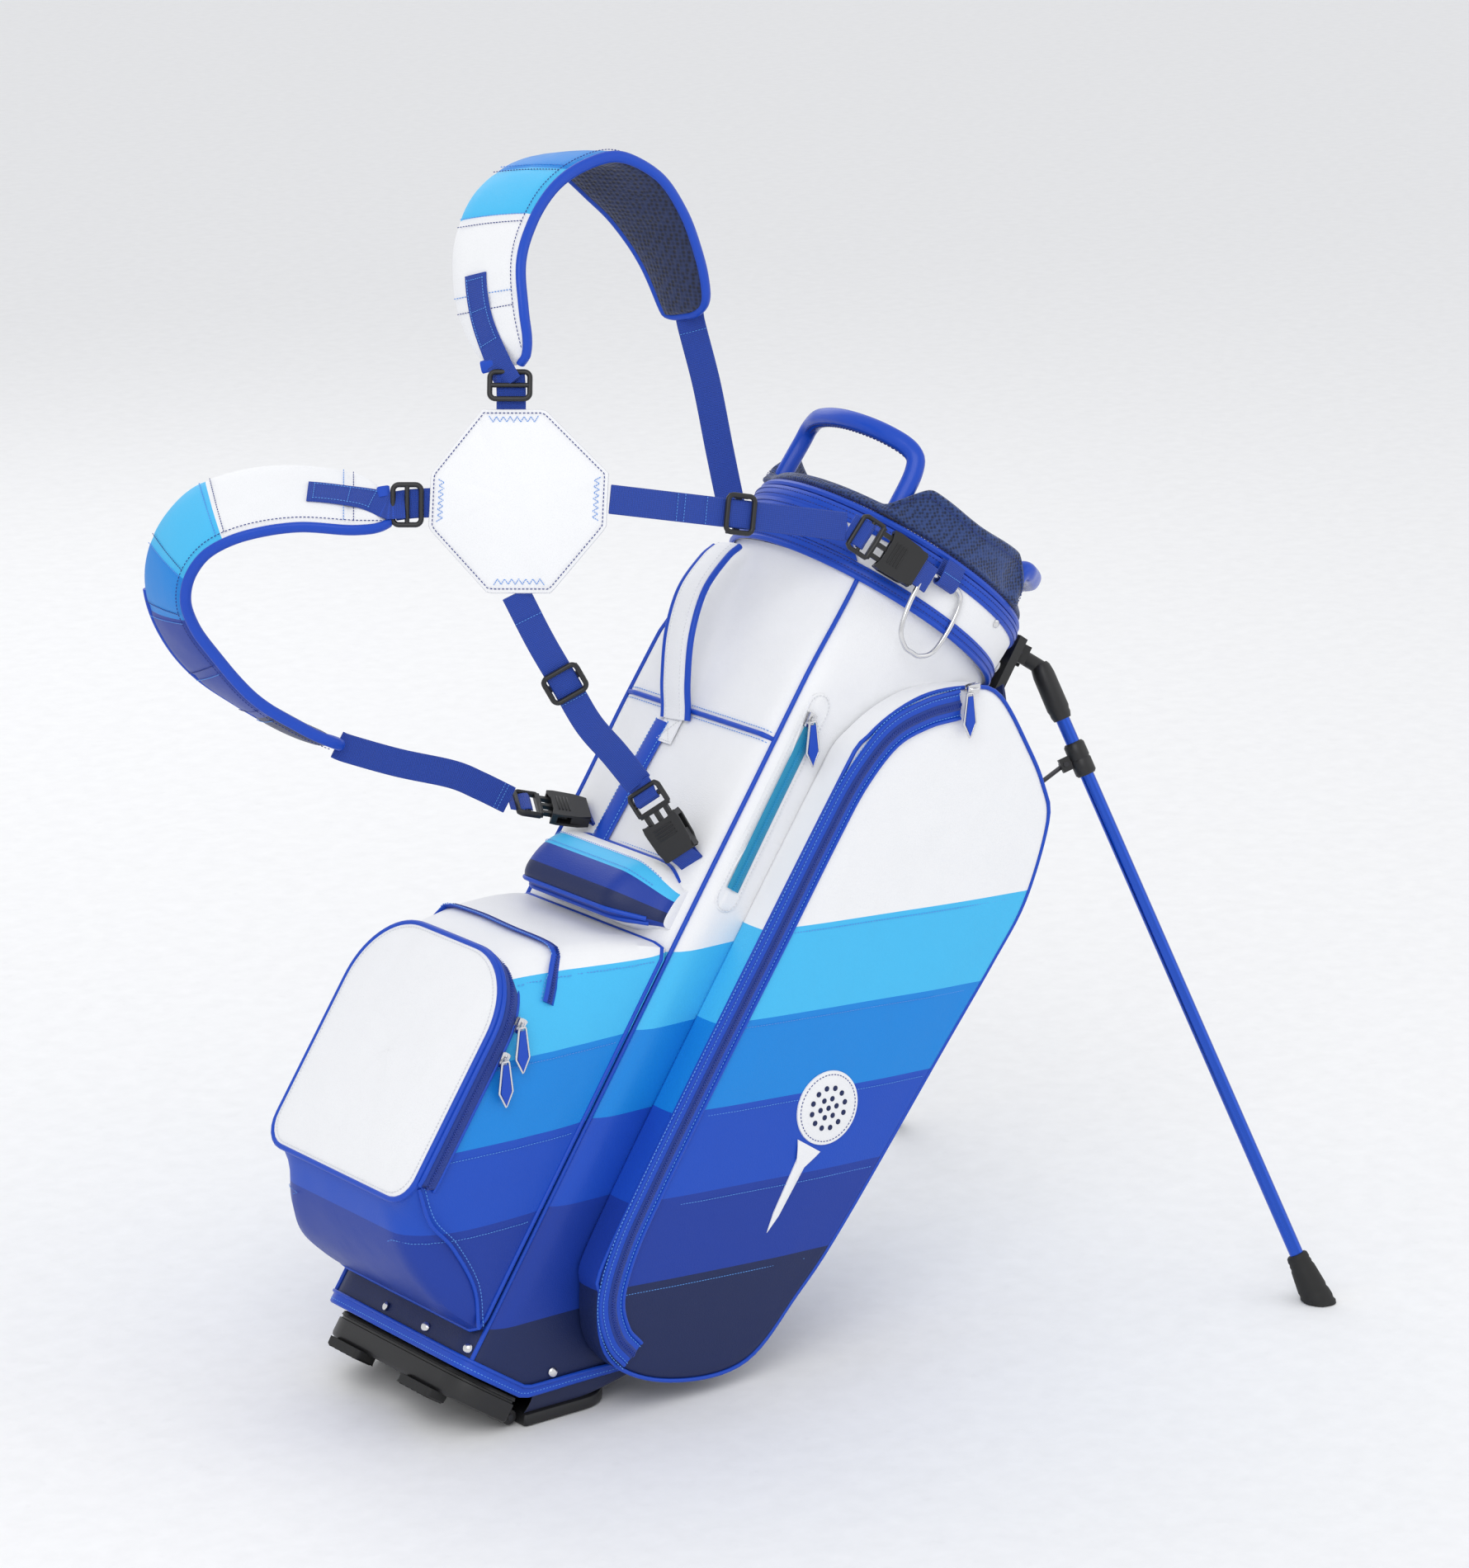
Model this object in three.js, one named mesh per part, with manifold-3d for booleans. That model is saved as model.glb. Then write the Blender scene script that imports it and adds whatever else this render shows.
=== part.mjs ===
// A golf stand bag on its two legs, in millimetres, +Z up.
// The bag leans forward (+X) on its legs; its own frame has x across the bag towards the legs,
// y across its width and z along its length, and is tipped by LEAN about Y.
// The harness has a frame of its own: x across, z up, y away from the side it is seen from.
import * as THREE from "three";
import { mergeVertices } from "three/addons/utils/BufferGeometryUtils.js";
import Module from "manifold-3d";

const wasm = await Module();
wasm.setup();

// Driving dimensions
const LEAN = THREE.MathUtils.degToRad(33.6);
const GAP = 0.5;
const BACK = -118;
const FRONT = 112;
const HALF_WIDTH = 112;
const CORNER = 42;
const WALL = 4;
const WELL_FLOOR = 120;

const HINGE_X = -40;
const HINGE_HEIGHT = 9;
const BARREL_RADIUS = 7;
const PIN_RADIUS = 3;
const PIN_PLAY = 0.09;
const PIN_SIDES = 24;
const PLATE_THICKNESS = 12;
const TOE_REACH = 109;
const HEEL_REACH = 69;
const BASE_HALF_WIDTH = 110;

const TOE_CLEARANCE = 30;
const HEEL_TOP = 27;
const POCKET_OUT = 150;
const LOBE_IN = 78;
const DOOR_X = -250;
const BALL_HALF = 107;

const COLLAR_TILT = THREE.MathUtils.degToRad(4.5);
const COLLAR_LOW = 790;
const COLLAR_HIGH = 840;
const COLLAR_RADIUS = 131;
const COLLAR_INNER = 124;
const COLLAR_DEPTH = COLLAR_HIGH - COLLAR_LOW;
const RIM_TOP = COLLAR_DEPTH + 9;
const CUFF_LOW = RIM_TOP + 8;
const CUFF_TOP = 100;
const HANDLE_RADIUS = 121;
const DIVIDER_WALL = 5;

const LEG_HINGE = new THREE.Vector3(164, 32, 831);
const LEG_ANGLE = THREE.MathUtils.degToRad(51.5);
const LEG_SPLAY = Math.atan2(0.544, 0.84);
const TUBE_RADIUS = 6.5;
const PIVOT_DOWN = 112;
const PIVOT_IN = -2;
const LINK_LENGTH = 270;
const LINK_ANGLE = THREE.MathUtils.degToRad(26.6);
const LINK_RADIUS = 2.2;
const LINK_END = 22;
const SLIDER_X = 135;
const SLIDER_HEIGHT = 518;

const RING_Y = -134;

const HARNESS_CENTRE = new THREE.Vector3(88, 0, 790);
const HARNESS_TURN = THREE.MathUtils.degToRad(-38);
const HARNESS_TIP = THREE.MathUtils.degToRad(-15);
const WEBBING_WIDTH = 25;
const WEBBING_THICKNESS = 2;
const PAD_THICKNESS = 12;

// Materials
function material(color, roughness, metalness = 0) {
  return new THREE.MeshStandardMaterial({ color, roughness, metalness });
}
const white = material(0xf2f2f2, 0.5);
const royal = material(0x1e49b8, 0.5);
const navy = material(0x18244f, 0.7);
const black = material(0x202022, 0.6);
const blueMetal = material(0x1d46c0, 0.35, 0.7);
const silver = material(0xb8babd, 0.3, 1);
const steel = material(0x3a3b3e, 0.4, 0.9);

// Solids and booleans
function solid(geometry) {
  const bare = geometry.clone();
  bare.deleteAttribute("normal");
  bare.deleteAttribute("uv");
  const merged = mergeVertices(bare, 1e-3);
  return new wasm.Manifold(
    new wasm.Mesh({
      numProp: 3,
      vertProperties: merged.getAttribute("position").array,
      triVerts: new Uint32Array(merged.index.array),
    }),
  );
}
function geometryOf(made) {
  const mesh = made.getMesh();
  const geometry = new THREE.BufferGeometry();
  geometry.setAttribute("position", new THREE.BufferAttribute(mesh.vertProperties, 3));
  geometry.setIndex(new THREE.BufferAttribute(mesh.triVerts, 1));
  geometry.computeVertexNormals();
  return geometry;
}
function join(...geometries) {
  return geometryOf(geometries.map(solid).reduce((a, b) => a.add(b)));
}
function cut(geometry, ...tools) {
  return geometryOf(tools.map(solid).reduce((a, b) => a.subtract(b), solid(geometry)));
}
function common(a, b) {
  return geometryOf(solid(a).intersect(solid(b)));
}

// Shapes
function at(x, y, z) {
  return new THREE.Vector3(x, y, z);
}
function block(x0, x1, y0, y1, z0, z1) {
  const made = new THREE.BoxGeometry(x1 - x0, y1 - y0, z1 - z0);
  return made.translate((x0 + x1) / 2, (y0 + y1) / 2, (z0 + z1) / 2);
}
function roundedRectangle(x0, x1, y0, y1, r) {
  const shape = new THREE.Shape();
  shape.absarc(x1 - r, y1 - r, r, 0, Math.PI / 2);
  shape.absarc(x0 + r, y1 - r, r, Math.PI / 2, Math.PI);
  shape.absarc(x0 + r, y0 + r, r, Math.PI, 1.5 * Math.PI);
  shape.absarc(x1 - r, y0 + r, r, 1.5 * Math.PI, 2 * Math.PI);
  return shape;
}
function polygon(points) {
  return new THREE.Shape(points.map(([x, y]) => new THREE.Vector2(x, y)));
}
// A flat outline in x and y, thickened from z0 to z1.
function prism(shape, z0, z1, curveSegments = 5) {
  const made = new THREE.ExtrudeGeometry(shape, { depth: z1 - z0, bevelEnabled: false, curveSegments });
  return made.translate(0, 0, z0);
}
// An outline in x and z, thickened from y0 to y1.
function sidePrism(shape, y0, y1, curveSegments = 5) {
  return prism(shape, -y1, -y0, curveSegments).rotateX(Math.PI / 2);
}
function rod(from, to, radius, sides = 12) {
  const span = new THREE.Vector3().subVectors(to, from);
  const made = new THREE.CylinderGeometry(radius, radius, span.length(), sides);
  const turn = new THREE.Quaternion();
  turn.setFromUnitVectors(new THREE.Vector3(0, 1, 0), span.clone().normalize());
  made.applyQuaternion(turn);
  const middle = from.clone().lerp(to, 0.5);
  return made.translate(middle.x, middle.y, middle.z);
}
function pinHole(from, to) {
  return rod(from, to, PIN_RADIUS + PIN_PLAY, PIN_SIDES);
}
function ring(profile, segments = 28) {
  const points = profile.map(([r, z]) => new THREE.Vector2(r, z));
  return new THREE.LatheGeometry([...points, points[0]], segments).rotateX(Math.PI / 2);
}
// A round or flat bar along a smooth curve through points.
function bar(points, section, steps, closed = false) {
  const path = new THREE.CatmullRomCurve3(points.map((p) => new THREE.Vector3(...p)), closed);
  return new THREE.ExtrudeGeometry(section, { steps, extrudePath: path, curveSegments: 3 });
}
function octagonPoints(radius) {
  return [...Array(8).keys()].map((i) => {
    const angle = ((i + 0.5) * Math.PI) / 4;
    return [radius * Math.cos(angle), radius * Math.sin(angle)];
  });
}
function disc(radius) {
  return new THREE.Shape().absarc(0, 0, radius, 0, 2 * Math.PI);
}
// A flat band between two edge curves, with square edges: the edges are lists of points.
function band(front, back, thickness, steps) {
  const curves = [front, back].map(
    (edge) => new THREE.CatmullRomCurve3(edge.map((p) => new THREE.Vector3(...p))),
  );
  const made = new THREE.BoxGeometry(1, 1, 1, 1, 1, steps);
  const position = made.getAttribute("position");
  for (let i = 0; i < position.count; i++) {
    const t = position.getZ(i) + 0.5;
    const [a, b] = curves.map((curve) => curve.getPoint(t));
    const tangent = curves[0].getTangent(t).add(curves[1].getTangent(t));
    const across = new THREE.Vector3().subVectors(b, a);
    const normal = new THREE.Vector3().crossVectors(tangent, across).normalize();
    const point = a.lerp(b, position.getX(i) + 0.5);
    point.addScaledVector(normal, position.getY(i) * thickness);
    position.setXYZ(i, point.x, point.y, point.z);
  }
  return made;
}
// A strap of even width through points, lying square to the direction it faces.
function strap(points, facing, steps, width = WEBBING_WIDTH, thickness = WEBBING_THICKNESS) {
  const path = new THREE.CatmullRomCurve3(points.map((p) => new THREE.Vector3(...p)));
  const edges = [1, -1].map((side) =>
    points.map((point, i) => {
      const across = path.getTangent(i / (points.length - 1)).cross(new THREE.Vector3(...facing));
      return new THREE.Vector3(...point).addScaledVector(across.normalize(), (side * width) / 2).toArray();
    }),
  );
  return band(edges[0], edges[1], thickness, steps);
}

// The scene graph
const part = new THREE.Group();
const standing = new THREE.Group();
const bag = new THREE.Group();
const harness = new THREE.Group();
part.add(standing);
standing.add(bag, harness);
bag.rotation.y = LEAN;
bag.position.set(-HINGE_X, 0, -HINGE_HEIGHT).applyAxisAngle(new THREE.Vector3(0, 1, 0), LEAN);
bag.position.z += HINGE_HEIGHT;
harness.rotation.order = "ZYX";
harness.rotation.set(HARNESS_TIP, 0, HARNESS_TURN);
harness.position.copy(HARNESS_CENTRE);

function add(parent, name, geometry, look) {
  const mesh = new THREE.Mesh(geometry, look);
  mesh.name = name;
  parent.add(mesh);
  return mesh;
}
const SIDES = [
  ["near", -1],
  ["far", 1],
];

// Body shell: a stiffened tube of leather cloth with a solid foam foot, open at the top.
// Its underside clears the toe plate, which lies level on the ground in front of the hinge,
// and its mouth is cut along the collar's slant.
const outer = roundedRectangle(BACK, FRONT, -HALF_WIDTH, HALF_WIDTH, CORNER);
const inner = roundedRectangle(
  BACK + WALL, FRONT - WALL, -HALF_WIDTH + WALL, HALF_WIDTH - WALL, CORNER - WALL,
);
const toeSpace = block(0, 400, -200, 200, -200, TOE_CLEARANCE - HINGE_HEIGHT);
toeSpace.rotateY(-LEAN).translate(HINGE_X, 0, HINGE_HEIGHT);
const collarSpace = block(-200, 200, -200, 200, 0, 200);
collarSpace.rotateY(COLLAR_TILT).translate(0, 0, COLLAR_LOW);
add(bag, "body_shell",
  cut(prism(outer, HEEL_TOP + GAP, 850, 4), prism(inner, WELL_FLOOR, 870, 4), toeSpace, collarSpace), white);

// Two stays hold the collar up from the foot, inside the shell's side walls.
for (const [side, sign] of SIDES) {
  const y = sign * (HALF_WIDTH - WALL - 7);
  add(bag, `stay_rod_${side}`,
    rod(at(0, y, WELL_FLOOR + GAP), at(0, y, COLLAR_LOW - 2), 5, 8), steel);
}

// Base: heel plate on the bag, toe plate level on the ground, and a pin through both.
const HEEL_BACK = HINGE_X - HEEL_REACH;
const HEEL_FRONT = HINGE_X - BARREL_RADIUS - 2;
const HEEL_BARREL_IN = 44;
const HEEL_BARREL_OUT = 100;
const TOE_BARREL = 42;
const LUG_HALF = 3;
const hingeHole = pinHole(at(HINGE_X, -150, HINGE_HEIGHT), at(HINGE_X, 150, HINGE_HEIGHT));
const heelShape = roundedRectangle(HEEL_BACK, HINGE_X + 60, -BASE_HALF_WIDTH, BASE_HALF_WIDTH, 36);
const heelPlate = common(prism(heelShape, 2, HEEL_TOP), block(HEEL_BACK - 5, HEEL_FRONT, -120, 120, 0, 30));
const heelKnuckles = SIDES.flatMap(([, sign]) => {
  const ends = [HEEL_BARREL_IN * sign, HEEL_BARREL_OUT * sign].sort((a, b) => a - b);
  return [
    rod(at(HINGE_X, ends[0], HINGE_HEIGHT), at(HINGE_X, ends[1], HINGE_HEIGHT), BARREL_RADIUS),
    block(HEEL_FRONT - 4, HINGE_X, ends[0], ends[1], HINGE_HEIGHT - LUG_HALF, HINGE_HEIGHT + LUG_HALF),
  ];
});
const heelGrips = SIDES.map(([, sign]) =>
  block(HEEL_BACK - 9, HEEL_BACK + 16, sign * 55 - 24, sign * 55 + 24, -6, 3));
add(bag, "heel_base", cut(join(heelPlate, ...heelGrips, ...heelKnuckles), hingeHole), black);
add(bag, "toe_hinge_pin",
  rod(at(HINGE_X, -101, HINGE_HEIGHT), at(HINGE_X, 101, HINGE_HEIGHT), PIN_RADIUS, PIN_SIDES), steel);

const toe = new THREE.Group();
toe.position.z = HINGE_HEIGHT;
standing.add(toe);
const toeStart = BARREL_RADIUS + 2;
const toeShape = roundedRectangle(toeStart - 60, TOE_REACH, -BASE_HALF_WIDTH, BASE_HALF_WIDTH, 36);
const toePlate = common(prism(toeShape, -HINGE_HEIGHT, PLATE_THICKNESS - HINGE_HEIGHT),
  block(toeStart, 200, -120, 120, -20, 20));
const toeBarrel = rod(at(0, -TOE_BARREL, 0), at(0, TOE_BARREL, 0), BARREL_RADIUS);
const toeLug = block(0, toeStart + 4, -TOE_BARREL, TOE_BARREL, -LUG_HALF, LUG_HALF);
add(toe, "toe_plate",
  cut(join(toePlate, toeBarrel, toeLug), pinHole(at(0, -150, 0), at(0, 150, 0))), black);

// Collar: moulded band and rim round the mouth, with a six-way club divider inside.
const collar = new THREE.Group();
collar.position.z = COLLAR_LOW;
collar.rotation.y = COLLAR_TILT;
bag.add(collar);
add(collar, "collar_band",
  ring([[COLLAR_INNER, GAP], [COLLAR_RADIUS, GAP], [COLLAR_RADIUS, COLLAR_DEPTH], [COLLAR_INNER, COLLAR_DEPTH]]),
  white);
add(collar, "collar_rim",
  ring([[114, COLLAR_DEPTH + GAP], [130, COLLAR_DEPTH + GAP], [132, COLLAR_DEPTH + 5], [128, RIM_TOP], [114, RIM_TOP]]),
  royal);
const DIVIDER_LOW = 12;
const DIVIDER_TOP = 46;
const dividerBars = [
  block(-122, 122, -DIVIDER_WALL / 2, DIVIDER_WALL / 2, DIVIDER_LOW, DIVIDER_TOP),
  ...[-42, 42].map((x) =>
    block(x - DIVIDER_WALL / 2, x + DIVIDER_WALL / 2, -114, 114, DIVIDER_LOW, DIVIDER_TOP)),
];
add(collar, "club_divider", join(...dividerBars), navy);

// Handles follow the rim: a raised one at the back and a lower one at the front, each on two posts.
// A mesh cuff stands on the rim and rises at either side, between the two handles.
function rimHandle(middle, spread, post, top) {
  const shares = [-1, -0.97, -0.85, -0.5, 0, 0.5, 0.85, 0.97, 1];
  const heights = [CUFF_LOW + 3, post, top - 6, top - 1, top, top - 1, top - 6, post, CUFF_LOW + 3];
  return shares.map((share, i) => {
    const angle = middle + share * spread;
    return [HANDLE_RADIUS * Math.cos(angle), HANDLE_RADIUS * Math.sin(angle), heights[i]];
  });
}
const grip = disc(8);
add(collar, "rear_handle", bar(rimHandle(Math.PI, 0.74, 108, 130), grip, 22), royal);
add(collar, "front_handle", bar(rimHandle(0, 1.2, 92, 104), grip, 26), royal);
const cuffRing = ring([[117, RIM_TOP + GAP], [125, RIM_TOP + GAP], [125, CUFF_TOP], [117, CUFF_TOP]]);
const cuffWings = SIDES.map(([, sign]) => {
  const corners = [1.33, 1.8, 2.27].map((angle) => [200 * Math.cos(angle), sign * 200 * Math.sin(angle)]);
  const wedge = polygon([[0, 0], ...(sign > 0 ? corners : corners.reverse())]);
  return common(cuffRing, prism(wedge, RIM_TOP - 5, CUFF_TOP + 10));
});
const cuffHem = common(cuffRing, block(-200, 200, -200, 200, 0, CUFF_LOW));
add(collar, "mesh_cuff", join(cuffHem, ...cuffWings), navy);

// Side pockets: a deep panel on each flank, with a lobe that stands past the front of the bag.
const pocketOutline = polygon([
  [-8, 90], [63, 95], [135, 138], [158, 215], [171, 290], [188, 469], [197, 560], [200, 624], [183, 696],
  [160, 720], [125, 741], [63, 768], [25, 758], [-22, 725], [-55, 672], [-62, 610], [-64, 200], [-50, 135],
]);
for (const [side, sign] of SIDES) {
  const span = [sign * POCKET_OUT, sign * (HALF_WIDTH + GAP)].sort((a, b) => a - b);
  const lobeSpan = [sign * POCKET_OUT, sign * LOBE_IN].sort((a, b) => a - b);
  const ahead = block(FRONT + 2 * GAP, 260, lobeSpan[0], lobeSpan[1], 0, 900);
  const lobe = common(sidePrism(pocketOutline, ...lobeSpan), ahead);
  add(bag, `side_pocket_${side}`, join(sidePrism(pocketOutline, ...span), lobe), white);
}

// Ball pocket on the back with its door, and the accessory pocket above it.
const ballOutline = polygon([
  [BACK - GAP, 62], [-190, 72], [-228, 98], [DOOR_X + GAP, 132], [DOOR_X + GAP, 356], [-236, 378], [-165, 412],
  [BACK - GAP, 430],
]);
const doorShape = new THREE.Shape();
doorShape.moveTo(-BALL_HALF + 24, 132);
doorShape.lineTo(BALL_HALF - 24, 132);
doorShape.absarc(BALL_HALF - 24, 156, 24, -Math.PI / 2, 0);
doorShape.lineTo(BALL_HALF, 290);
doorShape.absarc(BALL_HALF - 66, 290, 66, 0, Math.PI / 2);
doorShape.absarc(-BALL_HALF + 66, 290, 66, Math.PI / 2, Math.PI);
doorShape.lineTo(-BALL_HALF, 156);
doorShape.absarc(-BALL_HALF + 24, 156, 24, Math.PI, 1.5 * Math.PI);
const MOUTH_SCALE = 0.86;
const cavity = prism(doorShape, 0, 118.5).translate(0, -250, 0).scale(MOUTH_SCALE, MOUTH_SCALE, 1)
  .translate(0, 250, 0).rotateX(Math.PI / 2).rotateZ(-Math.PI / 2).translate(-132, 0, 0);
add(bag, "ball_pocket", cut(sidePrism(ballOutline, -BALL_HALF, BALL_HALF), cavity), white);
const door = prism(doorShape, 0, 6).rotateX(Math.PI / 2).rotateZ(-Math.PI / 2);
add(bag, "ball_pocket_door", door.translate(DOOR_X, 0, 0), white);
const accessoryOutline = polygon([
  [BACK - GAP, 434], [-158, 432], [-166, 446], [-152, 474], [BACK - GAP, 498],
]);
add(bag, "accessory_pocket", sidePrism(accessoryOutline, -98, 98), white);

// Carry handle bowed out from the back panel.
add(bag, "carry_handle",
  strap([[-124, 20, 628], [-136, 22, 650], [-154, 26, 690], [-158, 32, 730], [-146, 38, 765], [-136, 41, 782]],
    [-1, 0, 0], 16, 34, 6), white);

// Front channel: a U-shaped cover over the push rod, open above where the spring links sweep.
const COVER_LOW = 228;
const COVER_TOP = 534;
const COVER_OPEN = 440;
const RAIL_FRONT = 122;
const ROD_LOW = 236;
const channel = cut(
  block(FRONT + GAP, 152, -28, 28, COVER_LOW, COVER_TOP),
  block(FRONT - 2, 149, -25, 25, COVER_LOW - 10, 600),
  block(RAIL_FRONT, 160, -30, 30, COVER_OPEN, 600),
);
const channelFace = block(FRONT + GAP, FRONT + 2, -28, 28, COVER_LOW, COVER_TOP);
add(bag, "mechanism_cover", join(channel, channelFace), navy);
const SLIDER_LOW = SLIDER_HEIGHT - 26;
add(bag, "leg_slider",
  join(
    block(124, 146, -13, 13, SLIDER_LOW, SLIDER_HEIGHT - 3),
    rod(at(SLIDER_X, 0, ROD_LOW), at(SLIDER_X, 0, SLIDER_LOW + 5), 4, 8),
  ), black);

// Leg bracket under the collar: a back plate with two clevises, each turned to its leg's swing.
const CHEEK_IN = 9;
const CHEEK_OUT = 13;
const BRACKET_BACK = 138;
const bracketPieces = [
  block(FRONT + 2 * GAP, 148, -40, 40, 752, 774),
  block(BRACKET_BACK, 148, -56, 56, 752, 842),
];
const bracketHoles = [];
for (const [, sign] of SIDES) {
  const place = (g) =>
    g.rotateZ(sign * LEG_SPLAY).translate(LEG_HINGE.x, sign * LEG_HINGE.y, LEG_HINGE.z);
  for (const cheek of [-1, 1])
    bracketPieces.push(place(block(-42, 9, ...[cheek * CHEEK_IN, cheek * CHEEK_OUT].sort((a, b) => a - b), -9, 9)));
  bracketHoles.push(place(pinHole(at(0, -20, 0), at(0, 20, 0))));
}
const bracketTrim = join(
  block(BRACKET_BACK, 200, -90, 90, 740, 860), block(FRONT + 2 * GAP, 150, -40, 40, 740, 774));
add(bag, "leg_bracket", common(cut(join(...bracketPieces), ...bracketHoles), bracketTrim), black);

// Legs. Each leg's frame has z up the leg from the foot, y along its hinge and x away from the bag.
const legs = SIDES.map(([side, sign]) => {
  const down = new THREE.Vector3(0, 0, -1);
  const outward = new THREE.Vector3(Math.cos(LEG_SPLAY), sign * Math.sin(LEG_SPLAY), 0);
  const along = down.clone().multiplyScalar(Math.cos(LEG_ANGLE)).addScaledVector(outward, Math.sin(LEG_ANGLE));
  const zAxis = along.clone().negate();
  const xAxis = outward.clone().multiplyScalar(Math.cos(LEG_ANGLE)).addScaledVector(down, -Math.sin(LEG_ANGLE));
  const yAxis = new THREE.Vector3().crossVectors(zAxis, xAxis);
  const leg = new THREE.Group();
  leg.position.set(LEG_HINGE.x, sign * LEG_HINGE.y, LEG_HINGE.z);
  leg.quaternion.setFromRotationMatrix(new THREE.Matrix4().makeBasis(xAxis, yAxis, zAxis));
  bag.add(leg);
  return { side, sign, leg };
});
part.updateMatrixWorld(true);
const underground = block(-100, 1200, -600, 600, -300, 0);
const TUBE_TOP = at(14, 0, -44);
const TUBE_END = at(2, 0, -628);
for (const { side, sign, leg } of legs) {
  add(leg, `leg_pin_${side}`, rod(at(0, -15, 0), at(0, 15, 0), PIN_RADIUS, PIN_SIDES), steel);
  const eye = rod(at(0, -8, 0), at(0, 8, 0), 9);
  const arm = rod(at(0, 0, 0), at(15, 0, -22), 7, 8);
  const socket = rod(at(15, 0, -18), TUBE_TOP.clone().lerp(TUBE_END, 0.04), 10.5, 10);
  const bore = rod(TUBE_TOP, TUBE_END, TUBE_RADIUS + 0.4, 10);
  const hole = pinHole(at(0, -20, 0), at(0, 20, 0));
  add(leg, `leg_knuckle_${side}`, cut(join(eye, arm, socket), bore, hole), black);
  add(leg, `leg_tube_${side}`,
    rod(TUBE_TOP.clone().lerp(TUBE_END, 0.002), TUBE_END, TUBE_RADIUS, 10), blueMetal);
  const clampTop = TUBE_TOP.clone().lerp(TUBE_END, 0.09);
  const clampEnd = TUBE_TOP.clone().lerp(TUBE_END, 0.145);
  const clampLug = block(PIVOT_IN - 5, 10, -3, 3, -PIVOT_DOWN - 7, -PIVOT_DOWN + 7);
  add(leg, `leg_clamp_${side}`, cut(join(rod(clampTop, clampEnd, 10, 10), clampLug), bore), black);
  const boot = new THREE.CylinderGeometry(10, 17, 62, 12).rotateX(Math.PI / 2).translate(2, 0, -642);
  const ground = underground.clone().applyMatrix4(leg.matrixWorld.clone().invert());
  const footBore = rod(TUBE_TOP, TUBE_END.clone().add(at(0, 0, -0.4)), TUBE_RADIUS + 0.4, 10);
  add(leg, `leg_foot_${side}`, cut(boot, ground, footBore), black);
  const link = new THREE.Group();
  link.position.set(PIVOT_IN, 0, -PIVOT_DOWN);
  link.rotation.y = LEG_ANGLE + LINK_ANGLE;
  leg.add(link);
  const beside = -sign * (3.5 + LINK_RADIUS);
  const boss = rod(at(0, beside * 1.5, 0), at(0, -sign * 3.3, 0), 5, 8);
  const wire = rod(at(0, beside, 0), at(0, beside, LINK_END - LINK_LENGTH), LINK_RADIUS, 8);
  add(link, `spring_link_${side}`, join(boss, wire), steel);
}

// Towel ring on a webbing tab at the collar, and zip sliders with their pulls.
add(bag, "ring_tab",
  cut(block(-52, -28, RING_Y - 4, RING_Y + 4, 820, 846), rod(at(-60, RING_Y, 826), at(-20, RING_Y, 826), 3.5, 10)), royal);
const ringPath = [
  [-40, 826], [-58, 826], [-66, 817], [-67, 792], [-62, 769], [-50, 759], [-40, 758], [-30, 759], [-18, 769],
  [-13, 792], [-14, 817], [-22, 826],
];
add(bag, "towel_ring",
  bar(ringPath.map(([x, z]) => [x, RING_Y, z]), polygon(octagonPoints(2.3)), 36, true), silver);

function zipPull(parent, name, place, tilt) {
  const pull = new THREE.Group();
  pull.position.set(...place);
  pull.rotation.y = tilt;
  parent.add(pull);
  const tag = polygon([[-4, 2], [4, 2], [8, -26], [0, -40], [-8, -26]]);
  add(pull, name, sidePrism(tag, -1.5, 1.5), silver);
}
function zipSlider(parent, name, place, tilt) {
  const slider = new THREE.Group();
  slider.position.set(...place);
  slider.rotation.y = tilt;
  parent.add(slider);
  add(slider, name, block(-5, 5, -3, 3, -7, 7), silver);
}
const SIDE_ZIP = [22, 752];
for (const [side, sign] of SIDES) {
  const face = sign * POCKET_OUT;
  zipPull(bag, `side_zip_pull_${side}`, [SIDE_ZIP[0], face + sign * 8.5, SIDE_ZIP[1] - 2], -LEAN);
}
zipSlider(bag, "slim_zip_slider", [-96, -HALF_WIDTH - 4, 662], 0);
zipPull(bag, "slim_zip_pull", [-96, -HALF_WIDTH - 10.5, 660], -LEAN);
zipSlider(bag, "ball_zip_slider_upper", [-232, -BALL_HALF - 4, 310], 0);
zipPull(bag, "ball_zip_pull_upper", [-232, -BALL_HALF - 10.5, 308], -LEAN);
zipSlider(bag, "ball_zip_slider_lower", [-232, -BALL_HALF - 4, 278], 0);
zipPull(bag, "ball_zip_pull_lower", [-232, -BALL_HALF - 10.5, 276], -LEAN);

// Harness: an eight-sided centre pad with four arms. Two arms carry the shoulder pads, and all
// four end on the bag: at the collar on both sides and low on the back panel.
const facing = [0, -1, 0];
const octagon = polygon([
  [-28, 76], [25, 76], [79, 22], [77, -24], [30, -80], [-24, -80], [-74, -25], [-72, 21],
]);
add(harness, "centre_pad", sidePrism(octagon, -6, 6), white);
add(harness, "shoulder_pad_upper",
  band(
    [[14, -3, 117], [7, -12, 160], [5, -8, 200], [13, 5, 233], [30, 20, 264], [56, 40, 287], [87, 62, 297],
      [119, 82, 283], [140, 98, 254], [154, 112, 217], [160, 124, 186], [156, 134, 169]],
    [[-26, 20, 108], [-48, 36, 154], [-55, 42, 196], [-52, 55, 231], [-37, 70, 266], [-10, 88, 290], [24, 108, 297],
      [60, 125, 269], [84, 138, 245], [105, 148, 214], [121, 156, 178], [126, 160, 168]],
    PAD_THICKNESS, 22), white);
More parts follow.
